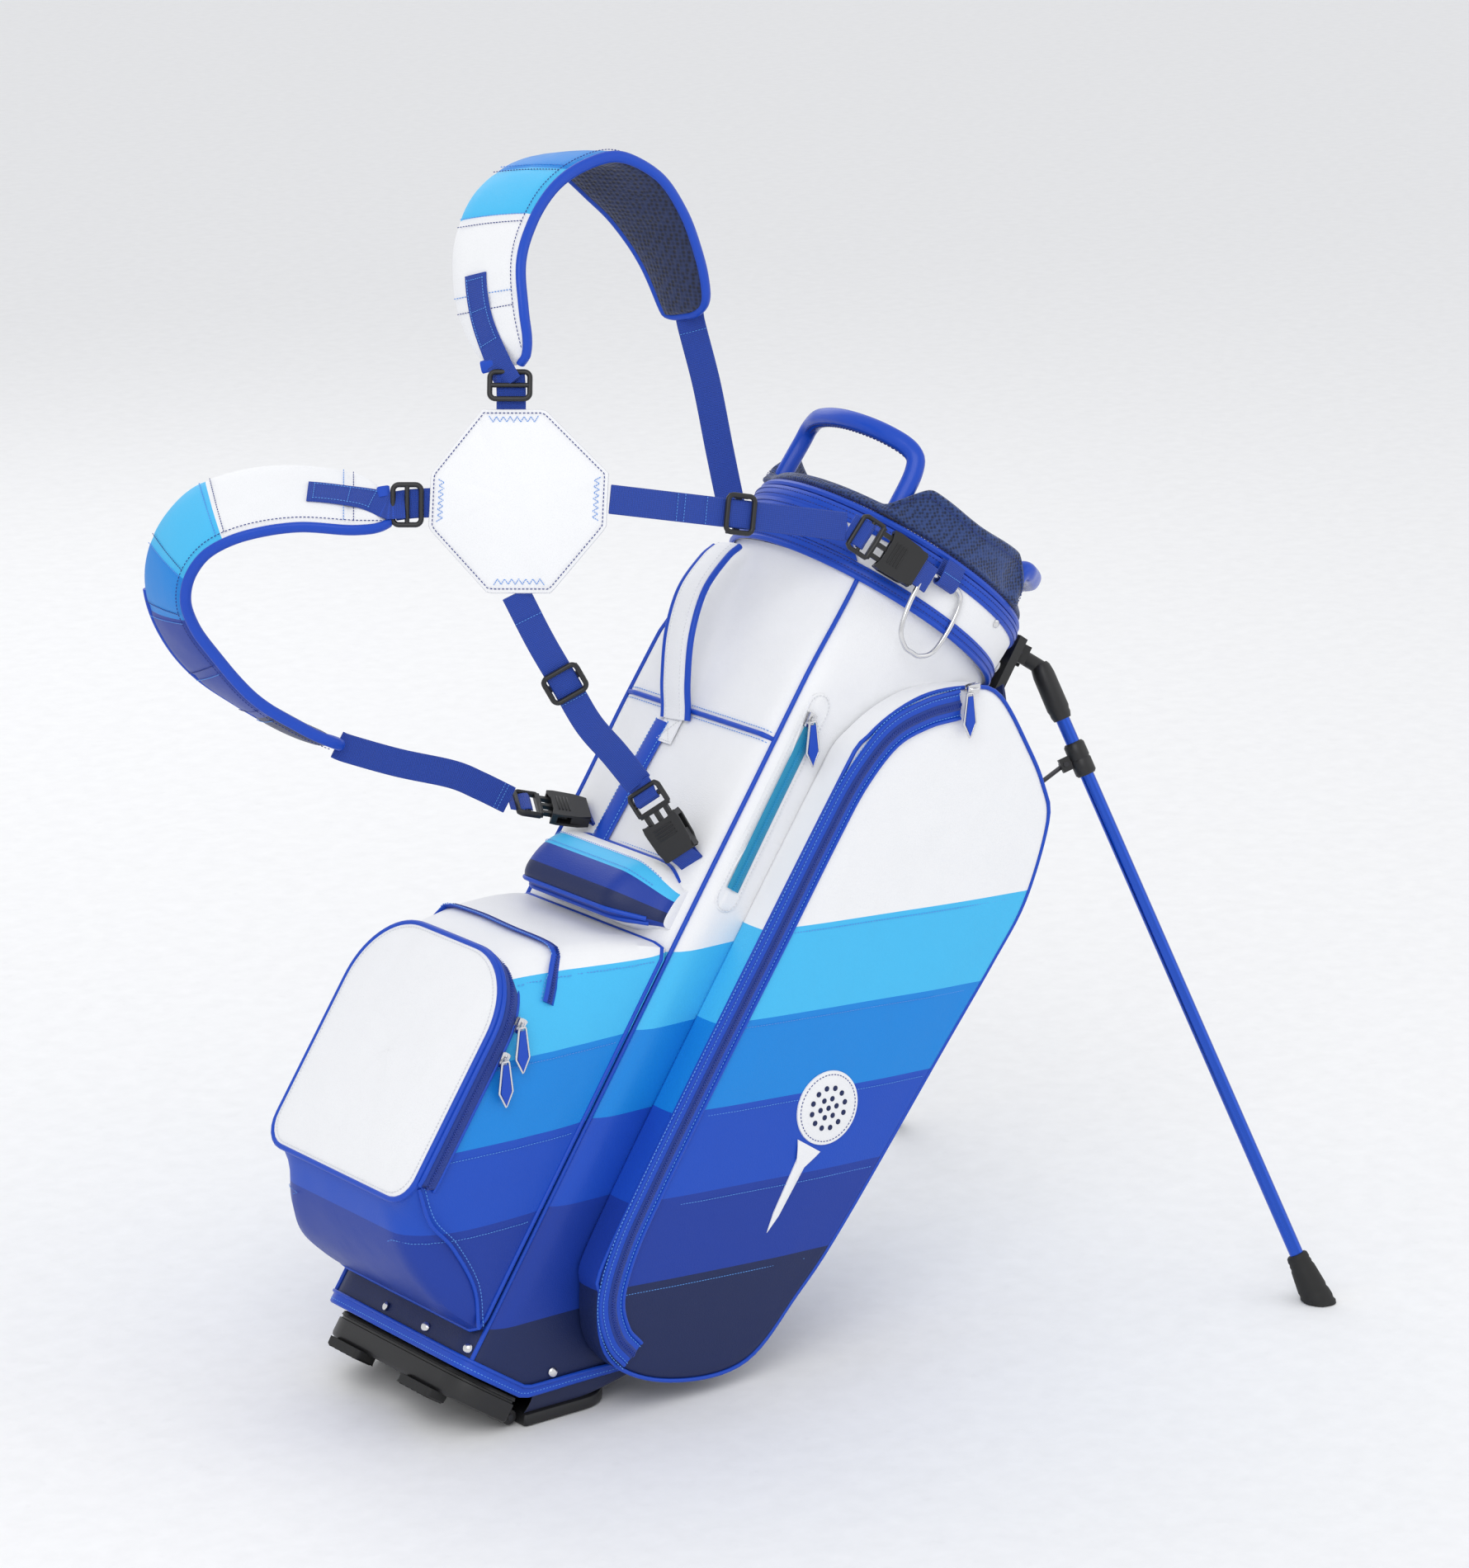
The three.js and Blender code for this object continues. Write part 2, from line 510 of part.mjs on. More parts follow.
add(harness, "shoulder_pad_lower",
  band(
    [[-104, 0, -24], [-136, -14, -27], [-183, -18, -25], [-224, -16, -31], [-256, -12, -44], [-275, -2, -64],
      [-281, 12, -87], [-275, 28, -109], [-258, 46, -134], [-228, 66, -169], [-188, 90, -195], [-155, 112, -210]],
    [[-110, 12, 8], [-140, 34, 22], [-189, 36, 29], [-238, 44, 25], [-282, 50, 8], [-310, 58, -25],
      [-321, 72, -63], [-313, 90, -103], [-289, 110, -140], [-254, 130, -167], [-206, 146, -194], [-166, 140, -205]],
    PAD_THICKNESS, 22), white);

const ARM_START = at(80, 2, 0);
const ARM_END = at(281.5, 104, -18.5);
// Each buckle: where its strap side starts, where its anchored side ends, and the way it faces.
const COLLAR_BUCKLE = [[287, 106, -19], [341, 118, -54], [0.25, -0.96, 0]];
const BACK_BUCKLE = [[103, 87, -243], [143, 85, -306], [-0.66, -0.64, 0.4]];
const LOW_BUCKLE = [[-12, 182, -258], [52, 204, -268], [-0.78, -0.49, 0.44]];
const arms = {
  upper_arm_webbing: [[-4, 3, 80], [-4, 3, 92], [-5, 6, 104]],
  lower_arm_webbing: [[-76, 3, -4], [-88, 3, -4], [-100, 5, -6]],
  collar_arm_webbing: [ARM_START.toArray(), ARM_START.clone().lerp(ARM_END, 0.5).toArray(), ARM_END.toArray()],
  back_arm_webbing: [[0, 2, -88], [20, 19, -120], [40, 36, -155], [60, 53, -190], [82, 71, -216], [102.5, 86.5, -242]],
  upper_pad_webbing: [[147, 154, 160], [160, 168, 110], [171, 184, 55], [180, 200, 12], [184, 208, -4]],
  lower_pad_webbing: [[-152, 132, -212], [-110, 148, -224], [-64, 164, -234], [-40, 172, -244], [-14, 181, -257]],
};
for (const [name, route] of Object.entries(arms)) add(harness, name, strap(route, facing, 8), royal);

// A group at a point, with x along one direction and z close to another.
function frameAt(parent, place, along, towards) {
  const x = at(...along).normalize();
  const y = new THREE.Vector3().crossVectors(at(...towards), x).normalize();
  const group = new THREE.Group();
  group.position.set(...place);
  group.quaternion.setFromRotationMatrix(
    new THREE.Matrix4().makeBasis(x, y, new THREE.Vector3().crossVectors(x, y)));
  parent.add(group);
  return group;
}

// Strap adjusters: a frame in front of the webbing and a bar behind it.
const triGlide = () =>
  join(
    cut(block(-15, 15, -18, 18, 1.5, 4.5), block(-10.5, 10.5, -13.5, 13.5, 0, 9)),
    block(-15, 15, 13.5, 18, -4.5, 4.5),
    block(-15, 15, -18, -13.5, -4.5, 4.5),
    block(-3, 3, -18, 18, -4.5, -1.5),
  );
const armDirection = ARM_END.clone().sub(ARM_START).toArray();
add(frameAt(harness, ARM_START.clone().lerp(ARM_END, 0.54).toArray(), armDirection, facing),
  "triglide_collar_arm", triGlide(), black);
add(frameAt(harness, [40, 36, -155], [20, 17, -35], facing), "triglide_back_arm", triGlide(), black);

// Side-release buckles: a three-pronged half on the strap inside a sleeve anchored to the bag.
function prongedHalf() {
  const frame = cut(block(-34, -8, -18, 18, -3.5, 3.5), block(-29, -23, -13.5, 13.5, -9, 9));
  const prongs = [-11, 0, 11].map((y) => block(-9, 15, y - 2.2, y + 2.2, -2.4, 2.4));
  return join(frame, ...prongs);
}
function sleeveHalf() {
  const cavity = block(-5, 18, -15, 15, -3.2, 3.2);
  return cut(block(-2, 36, -19, 19, -6, 6), cavity, block(26, 31, -13.5, 13.5, -9, 9));
}
const buckles = { collar: COLLAR_BUCKLE, back: BACK_BUCKLE, low: LOW_BUCKLE };
for (const [name, [from, to, towards]] of Object.entries(buckles)) {
  const along = at(...to).sub(at(...from));
  const middle = at(...from).addScaledVector(along.clone().normalize(), 35.5).toArray();
  const place = frameAt(harness, middle, along.toArray(), towards);
  add(place, `buckle_pronged_${name}`, prongedHalf(), black);
  add(place, `buckle_sleeve_${name}`, sleeveHalf(), black);
}

// The frame's origin is under the middle of the whole object, on the ground.
part.updateMatrixWorld(true);
const extent = new THREE.Box3().setFromObject(part, true);
const middle = extent.getCenter(at(0, 0, 0));
standing.position.set(-middle.x, -middle.y, -extent.min.z);

export default part;
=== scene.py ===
"""The looks of a golf stand bag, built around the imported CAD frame."""

import math

import bmesh
import bpy
from mathutils import Matrix, Vector, noise


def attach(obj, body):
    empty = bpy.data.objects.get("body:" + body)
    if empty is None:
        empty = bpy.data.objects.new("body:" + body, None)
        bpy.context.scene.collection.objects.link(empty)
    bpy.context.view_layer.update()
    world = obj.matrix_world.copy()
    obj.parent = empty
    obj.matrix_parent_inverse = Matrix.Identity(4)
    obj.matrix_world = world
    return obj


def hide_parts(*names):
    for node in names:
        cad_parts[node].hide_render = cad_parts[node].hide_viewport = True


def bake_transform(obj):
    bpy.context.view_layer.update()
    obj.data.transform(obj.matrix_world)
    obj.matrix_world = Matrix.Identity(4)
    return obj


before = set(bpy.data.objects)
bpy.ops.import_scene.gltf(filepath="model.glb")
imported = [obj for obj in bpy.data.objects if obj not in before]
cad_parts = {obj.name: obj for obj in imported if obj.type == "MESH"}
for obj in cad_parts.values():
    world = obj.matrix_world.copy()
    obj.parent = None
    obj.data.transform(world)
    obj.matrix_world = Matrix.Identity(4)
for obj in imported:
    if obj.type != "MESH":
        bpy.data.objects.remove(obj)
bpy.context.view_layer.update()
pi, sin, cos, radians = math.pi, math.sin, math.cos, math.radians

# ---------------------------------------------------------------- frames, as in the CAD
# Each turns millimetres of a local frame into metres of the whole object's frame.
LEAN_DEGREES, LEAN_COS, LEAN_SIN = 33.6, 0.83292, 0.55339
BASE_X = -0.31436
HINGE_Z = 0.009
MM = Matrix.Scale(0.001, 4)


def shift(x, y, z):
    return Matrix.Translation((x, y, z))


def turn(degrees, axis):
    return Matrix.Rotation(radians(degrees), 4, axis)


BAG = shift(BASE_X, 0, HINGE_Z) @ turn(LEAN_DEGREES, "Y") @ shift(0.04, 0, -0.009) @ MM
COLLAR = BAG @ shift(0, 0, 790) @ turn(4.5, "Y")
TOE = shift(BASE_X, 0, HINGE_Z) @ MM
HARNESS = shift(0.088 + BASE_X, 0, 0.79) @ turn(-38, "Z") @ turn(-15, "X") @ MM
LEG_ANGLE = radians(51.5)
LEG_SPLAY = math.atan2(0.544, 0.84)
LEG = {}
for side, sign in (("near", -1), ("far", 1)):
    down = Vector((0, 0, -1))
    outward = Vector((cos(LEG_SPLAY), sign * sin(LEG_SPLAY), 0))
    z_axis = -(down * cos(LEG_ANGLE) + outward * sin(LEG_ANGLE))
    x_axis = outward * cos(LEG_ANGLE) - down * sin(LEG_ANGLE)
    basis = Matrix((x_axis, z_axis.cross(x_axis), z_axis)).transposed().to_4x4()
    LEG[side] = BAG @ shift(164, sign * 32, 831) @ basis

# ---------------------------------------------------------------- camera
camera = bpy.data.objects.new("camera", bpy.data.cameras.new("camera"))
bpy.context.scene.collection.objects.link(camera)
AZIMUTH, ELEVATION, DISTANCE = radians(-37.77 - 90), radians(15.38), 4.436
target = Vector((0.0082, 0, 0.5))
away = Vector((cos(ELEVATION) * cos(AZIMUTH), cos(ELEVATION) * sin(AZIMUTH), sin(ELEVATION)))
camera.location = target + away * DISTANCE
camera.rotation_euler = (-away).to_track_quat("-Z", "Y").to_euler()
camera.data.lens = 114.35
camera.data.sensor_width = 36
bpy.context.scene.camera = camera


# ---------------------------------------------------------------- materials
def nodes_of(name):
    made = bpy.data.materials.new(name)
    made.use_nodes = True
    tree = made.node_tree
    return made, tree, tree.nodes["Principled BSDF"]


def node(tree, kind, settings=None, **inputs):
    made = tree.nodes.new(kind)
    for key, value in (settings or {}).items():
        setattr(made, key, value)
    for key, value in inputs.items():
        socket = made.inputs[key.replace("_", " ")]
        if hasattr(value, "links"):
            tree.links.new(value, socket)
        else:
            socket.default_value = value
    return made


def rgba(color):
    return (*color, 1)


def place_of(tree):
    return node(tree, "ShaderNodeTexCoord").outputs["Object"]


def bumped(tree, shader, height, strength, distance):
    made = node(tree, "ShaderNodeBump", Strength=strength, Distance=distance, Height=height)
    tree.links.new(made.outputs["Normal"], shader.inputs["Normal"])
    return made


def vary(tree, shader, place, color_socket, low, high, amount):
    """Uneven roughness and a faint unevenness of colour."""
    cloud = node(tree, "ShaderNodeTexNoise", Vector=place, Scale=38.0, Detail=5.0, Roughness=0.65)
    rough = node(tree, "ShaderNodeMapRange", Value=cloud.outputs["Fac"])
    rough.inputs["To Min"].default_value = low
    rough.inputs["To Max"].default_value = high
    tree.links.new(rough.outputs["Result"], shader.inputs["Roughness"])
    shade = node(tree, "ShaderNodeMapRange", Value=cloud.outputs["Fac"])
    shade.inputs["To Min"].default_value = 1 - amount
    shade.inputs["To Max"].default_value = 1 + amount
    mixed = node(tree, "ShaderNodeVectorMath", {"operation": "SCALE"}, Vector=color_socket)
    tree.links.new(shade.outputs["Result"], mixed.inputs["Scale"])
    tree.links.new(mixed.outputs["Vector"], shader.inputs["Base Color"])


def fixed_color(tree, color):
    """The colour with slightly lighter grain tops, from the grain texture itself."""
    ramp = node(tree, "ShaderNodeValToRGB")
    ramp.color_ramp.elements[0].color = rgba([c * 0.93 for c in color])
    ramp.color_ramp.elements[1].color = rgba(color)
    ramp.color_ramp.elements[1].position = 0.35
    return ramp


def leather(name, color=None, bands=None, tilt=0.0, low=0.36, high=0.5, grain=0.22):
    """Coated leather cloth. bands is a list of (lowest height, colour), from the ground up."""
    made, tree, shader = nodes_of(name)
    place = place_of(tree)
    cells = node(tree, "ShaderNodeTexVoronoi", {"feature": "F1"}, Vector=place, Scale=850.0)
    if bands:
        apart = node(tree, "ShaderNodeSeparateXYZ", Vector=place)
        height = node(tree, "ShaderNodeMath", {"operation": "MULTIPLY_ADD"})
        tree.links.new(apart.outputs["X"], height.inputs[0])
        height.inputs[1].default_value = tilt
        tree.links.new(apart.outputs["Z"], height.inputs[2])
        ramp = node(tree, "ShaderNodeValToRGB", Fac=height.outputs[0])
        ramp.color_ramp.interpolation = "CONSTANT"
        for index, (lowest, band) in enumerate(bands):
            if index < 2:
                element = ramp.color_ramp.elements[index]
                element.position = lowest
            else:
                element = ramp.color_ramp.elements.new(lowest)
            element.color = rgba(band)
    else:
        ramp = fixed_color(tree, color)
        tree.links.new(cells.outputs["Distance"], ramp.inputs["Fac"])
    vary(tree, shader, place, ramp.outputs["Color"], low, high, 0.025)
    creases = node(tree, "ShaderNodeTexNoise", Vector=place, Scale=13.0, Detail=2.0, Distortion=0.6)
    height = node(tree, "ShaderNodeMath", {"operation": "MULTIPLY_ADD"})
    tree.links.new(creases.outputs["Fac"], height.inputs[0])
    height.inputs[1].default_value = 11.4
    tree.links.new(cells.outputs["Distance"], height.inputs[2])
    bumped(tree, shader, height.outputs[0], grain, 0.0006)
    shader.inputs["Specular IOR Level"].default_value = 0.28
    return made


def along_strap(tree, pitch):
    """A wave across the strap, from its own unrolled millimetres."""
    apart = node(tree, "ShaderNodeSeparateXYZ", Vector=node(tree, "ShaderNodeUVMap").outputs["UV"])
    waves = []
    for axis, size in (("Y", pitch), ("X", pitch * 1.15)):
        scaled = node(tree, "ShaderNodeMath", {"operation": "MULTIPLY"})
        tree.links.new(apart.outputs[axis], scaled.inputs[0])
        scaled.inputs[1].default_value = 2 * pi / size
        wave = node(tree, "ShaderNodeMath", {"operation": "SINE"})
        tree.links.new(scaled.outputs[0], wave.inputs[0])
        waves.append(wave.outputs[0])
    return waves


def webbing(name, color, pitch=1.5, sheen=0.12):
    made, tree, shader = nodes_of(name)
    place = place_of(tree)
    ribs, yarns = along_strap(tree, pitch)
    weave = node(tree, "ShaderNodeMath", {"operation": "MULTIPLY"})
    tree.links.new(ribs, weave.inputs[0])
    tree.links.new(yarns, weave.inputs[1])
    total = node(tree, "ShaderNodeMath", {"operation": "MULTIPLY_ADD"})
    tree.links.new(ribs, total.inputs[0])
    total.inputs[1].default_value = 0.9
    tree.links.new(weave.outputs[0], total.inputs[2])
    ramp = node(tree, "ShaderNodeValToRGB", Fac=total.outputs[0])
    ramp.color_ramp.elements[0].color = rgba([c * 0.62 for c in color])
    ramp.color_ramp.elements[1].color = rgba(color)
    vary(tree, shader, place, ramp.outputs["Color"], 0.55, 0.75, 0.05)
    bumped(tree, shader, total.outputs[0], 0.55, 0.0004)
    shader.inputs["Sheen Weight"].default_value = sheen
    shader.inputs["Sheen Roughness"].default_value = 0.4
    return made


def knit(name, color, light, scale=330.0):
    """Spacer mesh: rows of small round eyes."""
    made, tree, shader = nodes_of(name)
    place = place_of(tree)
    eyes = node(tree, "ShaderNodeTexVoronoi", {"feature": "F1"}, Vector=place, Scale=scale)
    eyes.inputs["Randomness"].default_value = 0.32
    ramp = node(tree, "ShaderNodeValToRGB", Fac=eyes.outputs["Distance"])
    ramp.color_ramp.elements[0].color = rgba([c * 0.35 for c in color])
    ramp.color_ramp.elements[0].position = 0.22
    ramp.color_ramp.elements[1].color = rgba(light)
    ramp.color_ramp.elements[1].position = 0.62
    vary(tree, shader, place, ramp.outputs["Color"], 0.7, 0.9, 0.06)
    bumped(tree, shader, eyes.outputs["Distance"], 0.8, 0.0012)
    shader.inputs["Sheen Weight"].default_value = 0.3
    return made


def moulded(name, color, low=0.32, high=0.5, grain=0.12, scale=1500.0):
    made, tree, shader = nodes_of(name)
    place = place_of(tree)
    fine = node(tree, "ShaderNodeTexNoise", Vector=place, Scale=scale, Detail=2.0)
    ramp = fixed_color(tree, color)
    tree.links.new(fine.outputs["Fac"], ramp.inputs["Fac"])
    vary(tree, shader, place, ramp.outputs["Color"], low, high, 0.06)
    bumped(tree, shader, fine.outputs["Fac"], grain, 0.0003)
    return made


def metal(name, color, low, high, coat=0.0):
    made, tree, shader = nodes_of(name)
    place = place_of(tree)
    brushed = node(tree, "ShaderNodeTexNoise", Vector=place, Scale=900.0, Detail=3.0)
    ramp = fixed_color(tree, color)
    tree.links.new(brushed.outputs["Fac"], ramp.inputs["Fac"])
    vary(tree, shader, place, ramp.outputs["Color"], low, high, 0.04)
    bumped(tree, shader, brushed.outputs["Fac"], 0.05, 0.0001)
    shader.inputs["Metallic"].default_value = 1.0
    shader.inputs["Coat Weight"].default_value = coat
    return made


WHITE = (0.86, 0.865, 0.88)
CYAN = (0.062, 0.50, 0.86)
AZURE = (0.008, 0.235, 0.70)
BLUE = (0.012, 0.075, 0.50)
ROYAL = (0.012, 0.045, 0.33)
NAVY = (0.012, 0.022, 0.09)
TRIM = (0.012, 0.07, 0.50)

white = leather("white_leather", WHITE)
side_bands = leather("side_bands", bands=[
    (0.0, NAVY), (0.106, ROYAL), (0.180, BLUE), (0.256, AZURE), (0.330, CYAN), (0.409, WHITE)], tilt=0.06)
back_bands = leather("back_bands", bands=[
    (0.0, NAVY), (0.097, ROYAL), (0.192, BLUE), (0.262, AZURE), (0.334, CYAN), (0.398, WHITE)])
cyan = leather("cyan_leather", CYAN)
azure = leather("azure_leather", AZURE)
royal = leather("royal_leather", ROYAL)
navy = leather("navy_leather", NAVY)
trim = leather("trim_leather", TRIM, low=0.28, high=0.4, grain=0.12)
gloss_trim = leather("handle_leather", TRIM, low=0.2, high=0.3, grain=0.08)
strap_blue = webbing("blue_webbing", TRIM)
zip_tape = webbing("blue_zip_tape", (0.012, 0.06, 0.42), 0.9)
cyan_tape = webbing("cyan_zip_tape", (0.02, 0.42, 0.75), 0.9)
mesh_navy = knit("navy_knit", (0.010, 0.030, 0.12), (0.022, 0.055, 0.20))
pad_mesh = knit("pad_mesh", (0.006, 0.012, 0.05), (0.014, 0.028, 0.10), 260.0)
lining = webbing("well_lining", (0.03, 0.035, 0.06), 1.2, 0.1)
skirt_cloth = webbing("skirt_cloth", (0.012, 0.022, 0.09), 1.0, 0.1)
black = moulded("black_plastic", (0.012, 0.012, 0.013))
rubber = moulded("black_rubber", (0.010, 0.010, 0.010), 0.6, 0.75, 0.3, 700.0)
teeth_blue = moulded("zip_teeth_blue", (0.010, 0.04, 0.30), 0.25, 0.35)
teeth_cyan = moulded("zip_teeth_cyan", (0.02, 0.33, 0.62), 0.25, 0.35)
thread_white = moulded("thread_white", (0.72, 0.73, 0.75), 0.6, 0.7)
thread_blue = moulded("thread_blue", (0.01, 0.03, 0.22), 0.5, 0.6)
thread_light = moulded("thread_light", (0.10, 0.30, 0.75), 0.5, 0.6)
tube_blue = metal("blue_tube", (0.02, 0.09, 0.55), 0.22, 0.34, 0.4)
nickel = metal("bright_metal", (0.70, 0.70, 0.71), 0.16, 0.28)
steel = metal("dark_steel", (0.06, 0.06, 0.065), 0.3, 0.45)


# ---------------------------------------------------------------- mesh helpers
def curve_points(points, count, closed=False):
    """Points along a Catmull-Rom curve, evenly spread by index."""
    knots = [Vector(p) for p in points]
    last = len(knots) if closed else len(knots) - 1
    found = []
    for i in range(count):
        t = i / (count if closed else count - 1) * last
        k = min(int(t), last - 1)
        f = t - k
        if closed:
            a, b, c, d = (knots[(k + j) % len(knots)] for j in (-1, 0, 1, 2))
        else:
            b, c = knots[k], knots[k + 1]
            a = knots[k - 1] if k else b * 2 - c
            d = knots[k + 2] if k + 2 < len(knots) else c * 2 - b
        found.append(0.5 * (2 * b + (c - a) * f + (2 * a - 5 * b + 4 * c - d) * f * f
                            + (3 * b - 3 * c + d - a) * f ** 3))
    return found


def evenly(points, step, closed=False):
    """The same line with points a fixed length apart."""
    line = [Vector(p) for p in points]
    if closed:
        line = line + [line[0]]
    lengths = [0.0]
    for a, b in zip(line, line[1:]):
        lengths.append(lengths[-1] + (b - a).length)
    count = max(2, round(lengths[-1] / step))
    found, k = [], 0
    for i in range(count if closed else count + 1):
        want = lengths[-1] * i / count
        while k < len(line) - 2 and lengths[k + 1] < want:
            k += 1
        gap = lengths[k + 1] - lengths[k]
        found.append(line[k].lerp(line[k + 1], (want - lengths[k]) / gap if gap else 0))
    return found


def tangents(points, closed=False):
    n = len(points)
    found = []
    for i in range(n):
        if closed:
            d = points[(i + 1) % n] - points[i - 1]
        else:
            d = points[min(i + 1, n - 1)] - points[max(i - 1, 0)]
        found.append(d.normalized())
    return found


def grid(rows, close_u=False, close_v=False, caps=True):
    """A surface through rows of points. u runs along a row, v from row to row. UVs are in millimetres."""
    nv, nu = len(rows), len(rows[0])
    verts = [Vector(p) for row in rows for p in row]
    us = [0.0]
    middle = rows[nv // 2]
    for i in range(nu):
        us.append(us[-1] + (Vector(middle[(i + 1) % nu]) - Vector(middle[i])).length)
    vs = [0.0]
    for j in range(nv):
        vs.append(vs[-1] + (Vector(rows[(j + 1) % nv][0]) - Vector(rows[j][0])).length)
    faces, uvs = [], []
    for j in range(nv if close_v else nv - 1):
        for i in range(nu if close_u else nu - 1):
            i2, j2 = (i + 1) % nu, (j + 1) % nv
            faces.append([j * nu + i, j * nu + i2, j2 * nu + i2, j2 * nu + i])
            uvs.append([(us[i], vs[j]), (us[i + 1], vs[j]), (us[i + 1], vs[j + 1]), (us[i], vs[j + 1])])
    if caps and close_u and not close_v:
        for j, order in ((0, -1), (nv - 1, 1)):
            loop = [j * nu + i for i in range(nu)][::order]
            faces.append(loop)
            uvs.append([(us[k % nu], vs[j]) for k in range(nu)])
    return verts, faces, uvs


def sweep(points, facing, section, closed=False, scale=None):
    """A section of (across, out) points carried along a line. facing is one direction or one per point."""
    directions = tangents(points, closed)
    many = isinstance(facing, list)
    rows = []
    for i, (p, d) in enumerate(zip(points, directions)):
        out = Vector(facing[i] if many else facing)
        across = d.cross(out).normalized()
        up = across.cross(d)
        k = scale(i / max(1, len(points) - 1)) if scale else 1
        rows.append([p + across * (a * k) + up * (b * k) for a, b in section])
    return grid(rows, close_u=True, close_v=closed)


def round_section(radius, sides=12):
    return [(radius * cos(2 * pi * i / sides), radius * sin(2 * pi * i / sides)) for i in range(sides)]


def flat_section(width, thickness, rise=0.0):
    """A strap's section: flat, with rounded edges, and raised in the middle by rise."""
    w, t = width / 2, thickness / 2
    top = [(w - t, t), (w / 2, t + rise * 0.7), (0, t + rise), (-w / 2, t + rise * 0.7), (-w + t, t)]
    return top + [(-w, 0), (-w + t, -t), (0, -t), (w - t, -t), (w, 0)]


def carried(points):
    """A direction square to the line at each point, turning as little as it can."""
    directions = tangents(points)
    out = Vector((0, 0, 1)) if abs(directions[0].z) < 0.8 else Vector((1, 0, 0))
    found = []
    for d in directions:
        out = (out - d * out.dot(d)).normalized()
        found.append(out.copy())
    return found


def tube(points, radius, sides=12, closed=False):
    line = [Vector(p) for p in points]
    return sweep(line, carried(line), round_section(radius, sides), closed)


def rod(a, b, radius, sides=20):
    return tube([Vector(a), Vector(b)], radius, sides)


def turned(a, b, profile, sides=24):
    """A round solid about the line from a to b: profile is (share of the way, radius)."""
    a, b = Vector(a), Vector(b)
    axis = (b - a).normalized()
    side = axis.orthogonal().normalized()
    other = axis.cross(side)
    rows = [[a.lerp(b, t) + (side * cos(2 * pi * i / sides) + other * sin(2 * pi * i / sides)) * r
             for i in range(sides)] for t, r in profile]
    return grid(rows, close_u=True)


def slab(outline, low, high, to3d):
    """A flat outline between two levels."""
    rows = [[to3d(x, y, level) for x, y in outline] for level in (low, high)]
    return grid(rows, close_u=True)


def block(x0, x1, y0, y1, z0, z1):
    return slab([(x0, y0), (x1, y0), (x1, y1), (x0, y1)], z0, z1, lambda x, y, z: Vector((x, y, z)))


class Pile:
    """Closed solids gathered into one mesh, each with one of the mesh's materials."""

    def __init__(self, *materials):
        self.materials = materials
        self.verts, self.faces, self.uvs, self.slots = [], [], [], []

    def add(self, data, slot=0, matrix=None):
        verts, faces, uvs = data
        start = len(self.verts)
        self.verts += [matrix @ v for v in verts] if matrix else verts
        self.faces += [[start + i for i in face] for face in faces]
        self.uvs += uvs
        self.slots += slot if isinstance(slot, list) else [slot] * len(faces)
        return self

    def make(self, name, body, frame_matrix, slot, replaces=(), bevel=0.0, smooth=40.0, divide=0):
        mesh = bpy.data.meshes.new(name)
        mesh.from_pydata([frame_matrix @ v for v in self.verts], [], self.faces)
        for made in self.materials:
            mesh.materials.append(made)
        mesh.polygons.foreach_set("material_index", self.slots)
        layer = mesh.uv_layers.new(name="UVMap")
        flat = [c for face in self.uvs for uv in face for c in uv]
        layer.data.foreach_set("uv", flat)
        obj = bpy.data.objects.new(name, mesh)
        bpy.context.scene.collection.objects.link(obj)
        outward_faces(mesh)
        mesh.shade_smooth()
        mesh.set_sharp_from_angle(angle=radians(smooth))
        if bevel:
            made = obj.modifiers.new("edges", "BEVEL")
            made.width = bevel
            made.segments = 2
            made.limit_method = "ANGLE"
        if divide:
            made = obj.modifiers.new("smoothing", "SUBSURF")
            made.levels = made.render_levels = divide
        if body:
            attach(obj, body)
        if replaces:
            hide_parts(*replaces)
        return obj


def outward_faces(mesh):
    work = bmesh.new()
    work.from_mesh(mesh)
    bmesh.ops.recalc_face_normals(work, faces=work.faces)
    work.to_mesh(mesh)
    work.free()


def add_stitches(pile, points, facing, slot=0, pitch=3.4, length=2.3, radius=0.42, closed=False):
    line = evenly(points, pitch, closed)
    directions = tangents(line, closed)
    many = isinstance(facing, list)
    for i, (p, d) in enumerate(zip(line, directions)):
        out = Vector(facing[min(i * len(facing) // len(line), len(facing) - 1)] if many else facing)
        across = d.cross(out).normalized()
        up = across.cross(d)
        rows = []
        for share, r in ((-0.5, 0.45), (-0.3, 1), (0.3, 1), (0.5, 0.45)):
            rise = radius * (0.5 if abs(share) > 0.4 else 0.9) - radius * 0.4
            centre = p + d * (share * length) + up * rise
            rows.append([centre + (across * cos(pi * k / 3) + up * sin(pi * k / 3)) * (radius * r)
                         for k in range(6)])
        pile.add(grid(rows, close_u=True), slot)


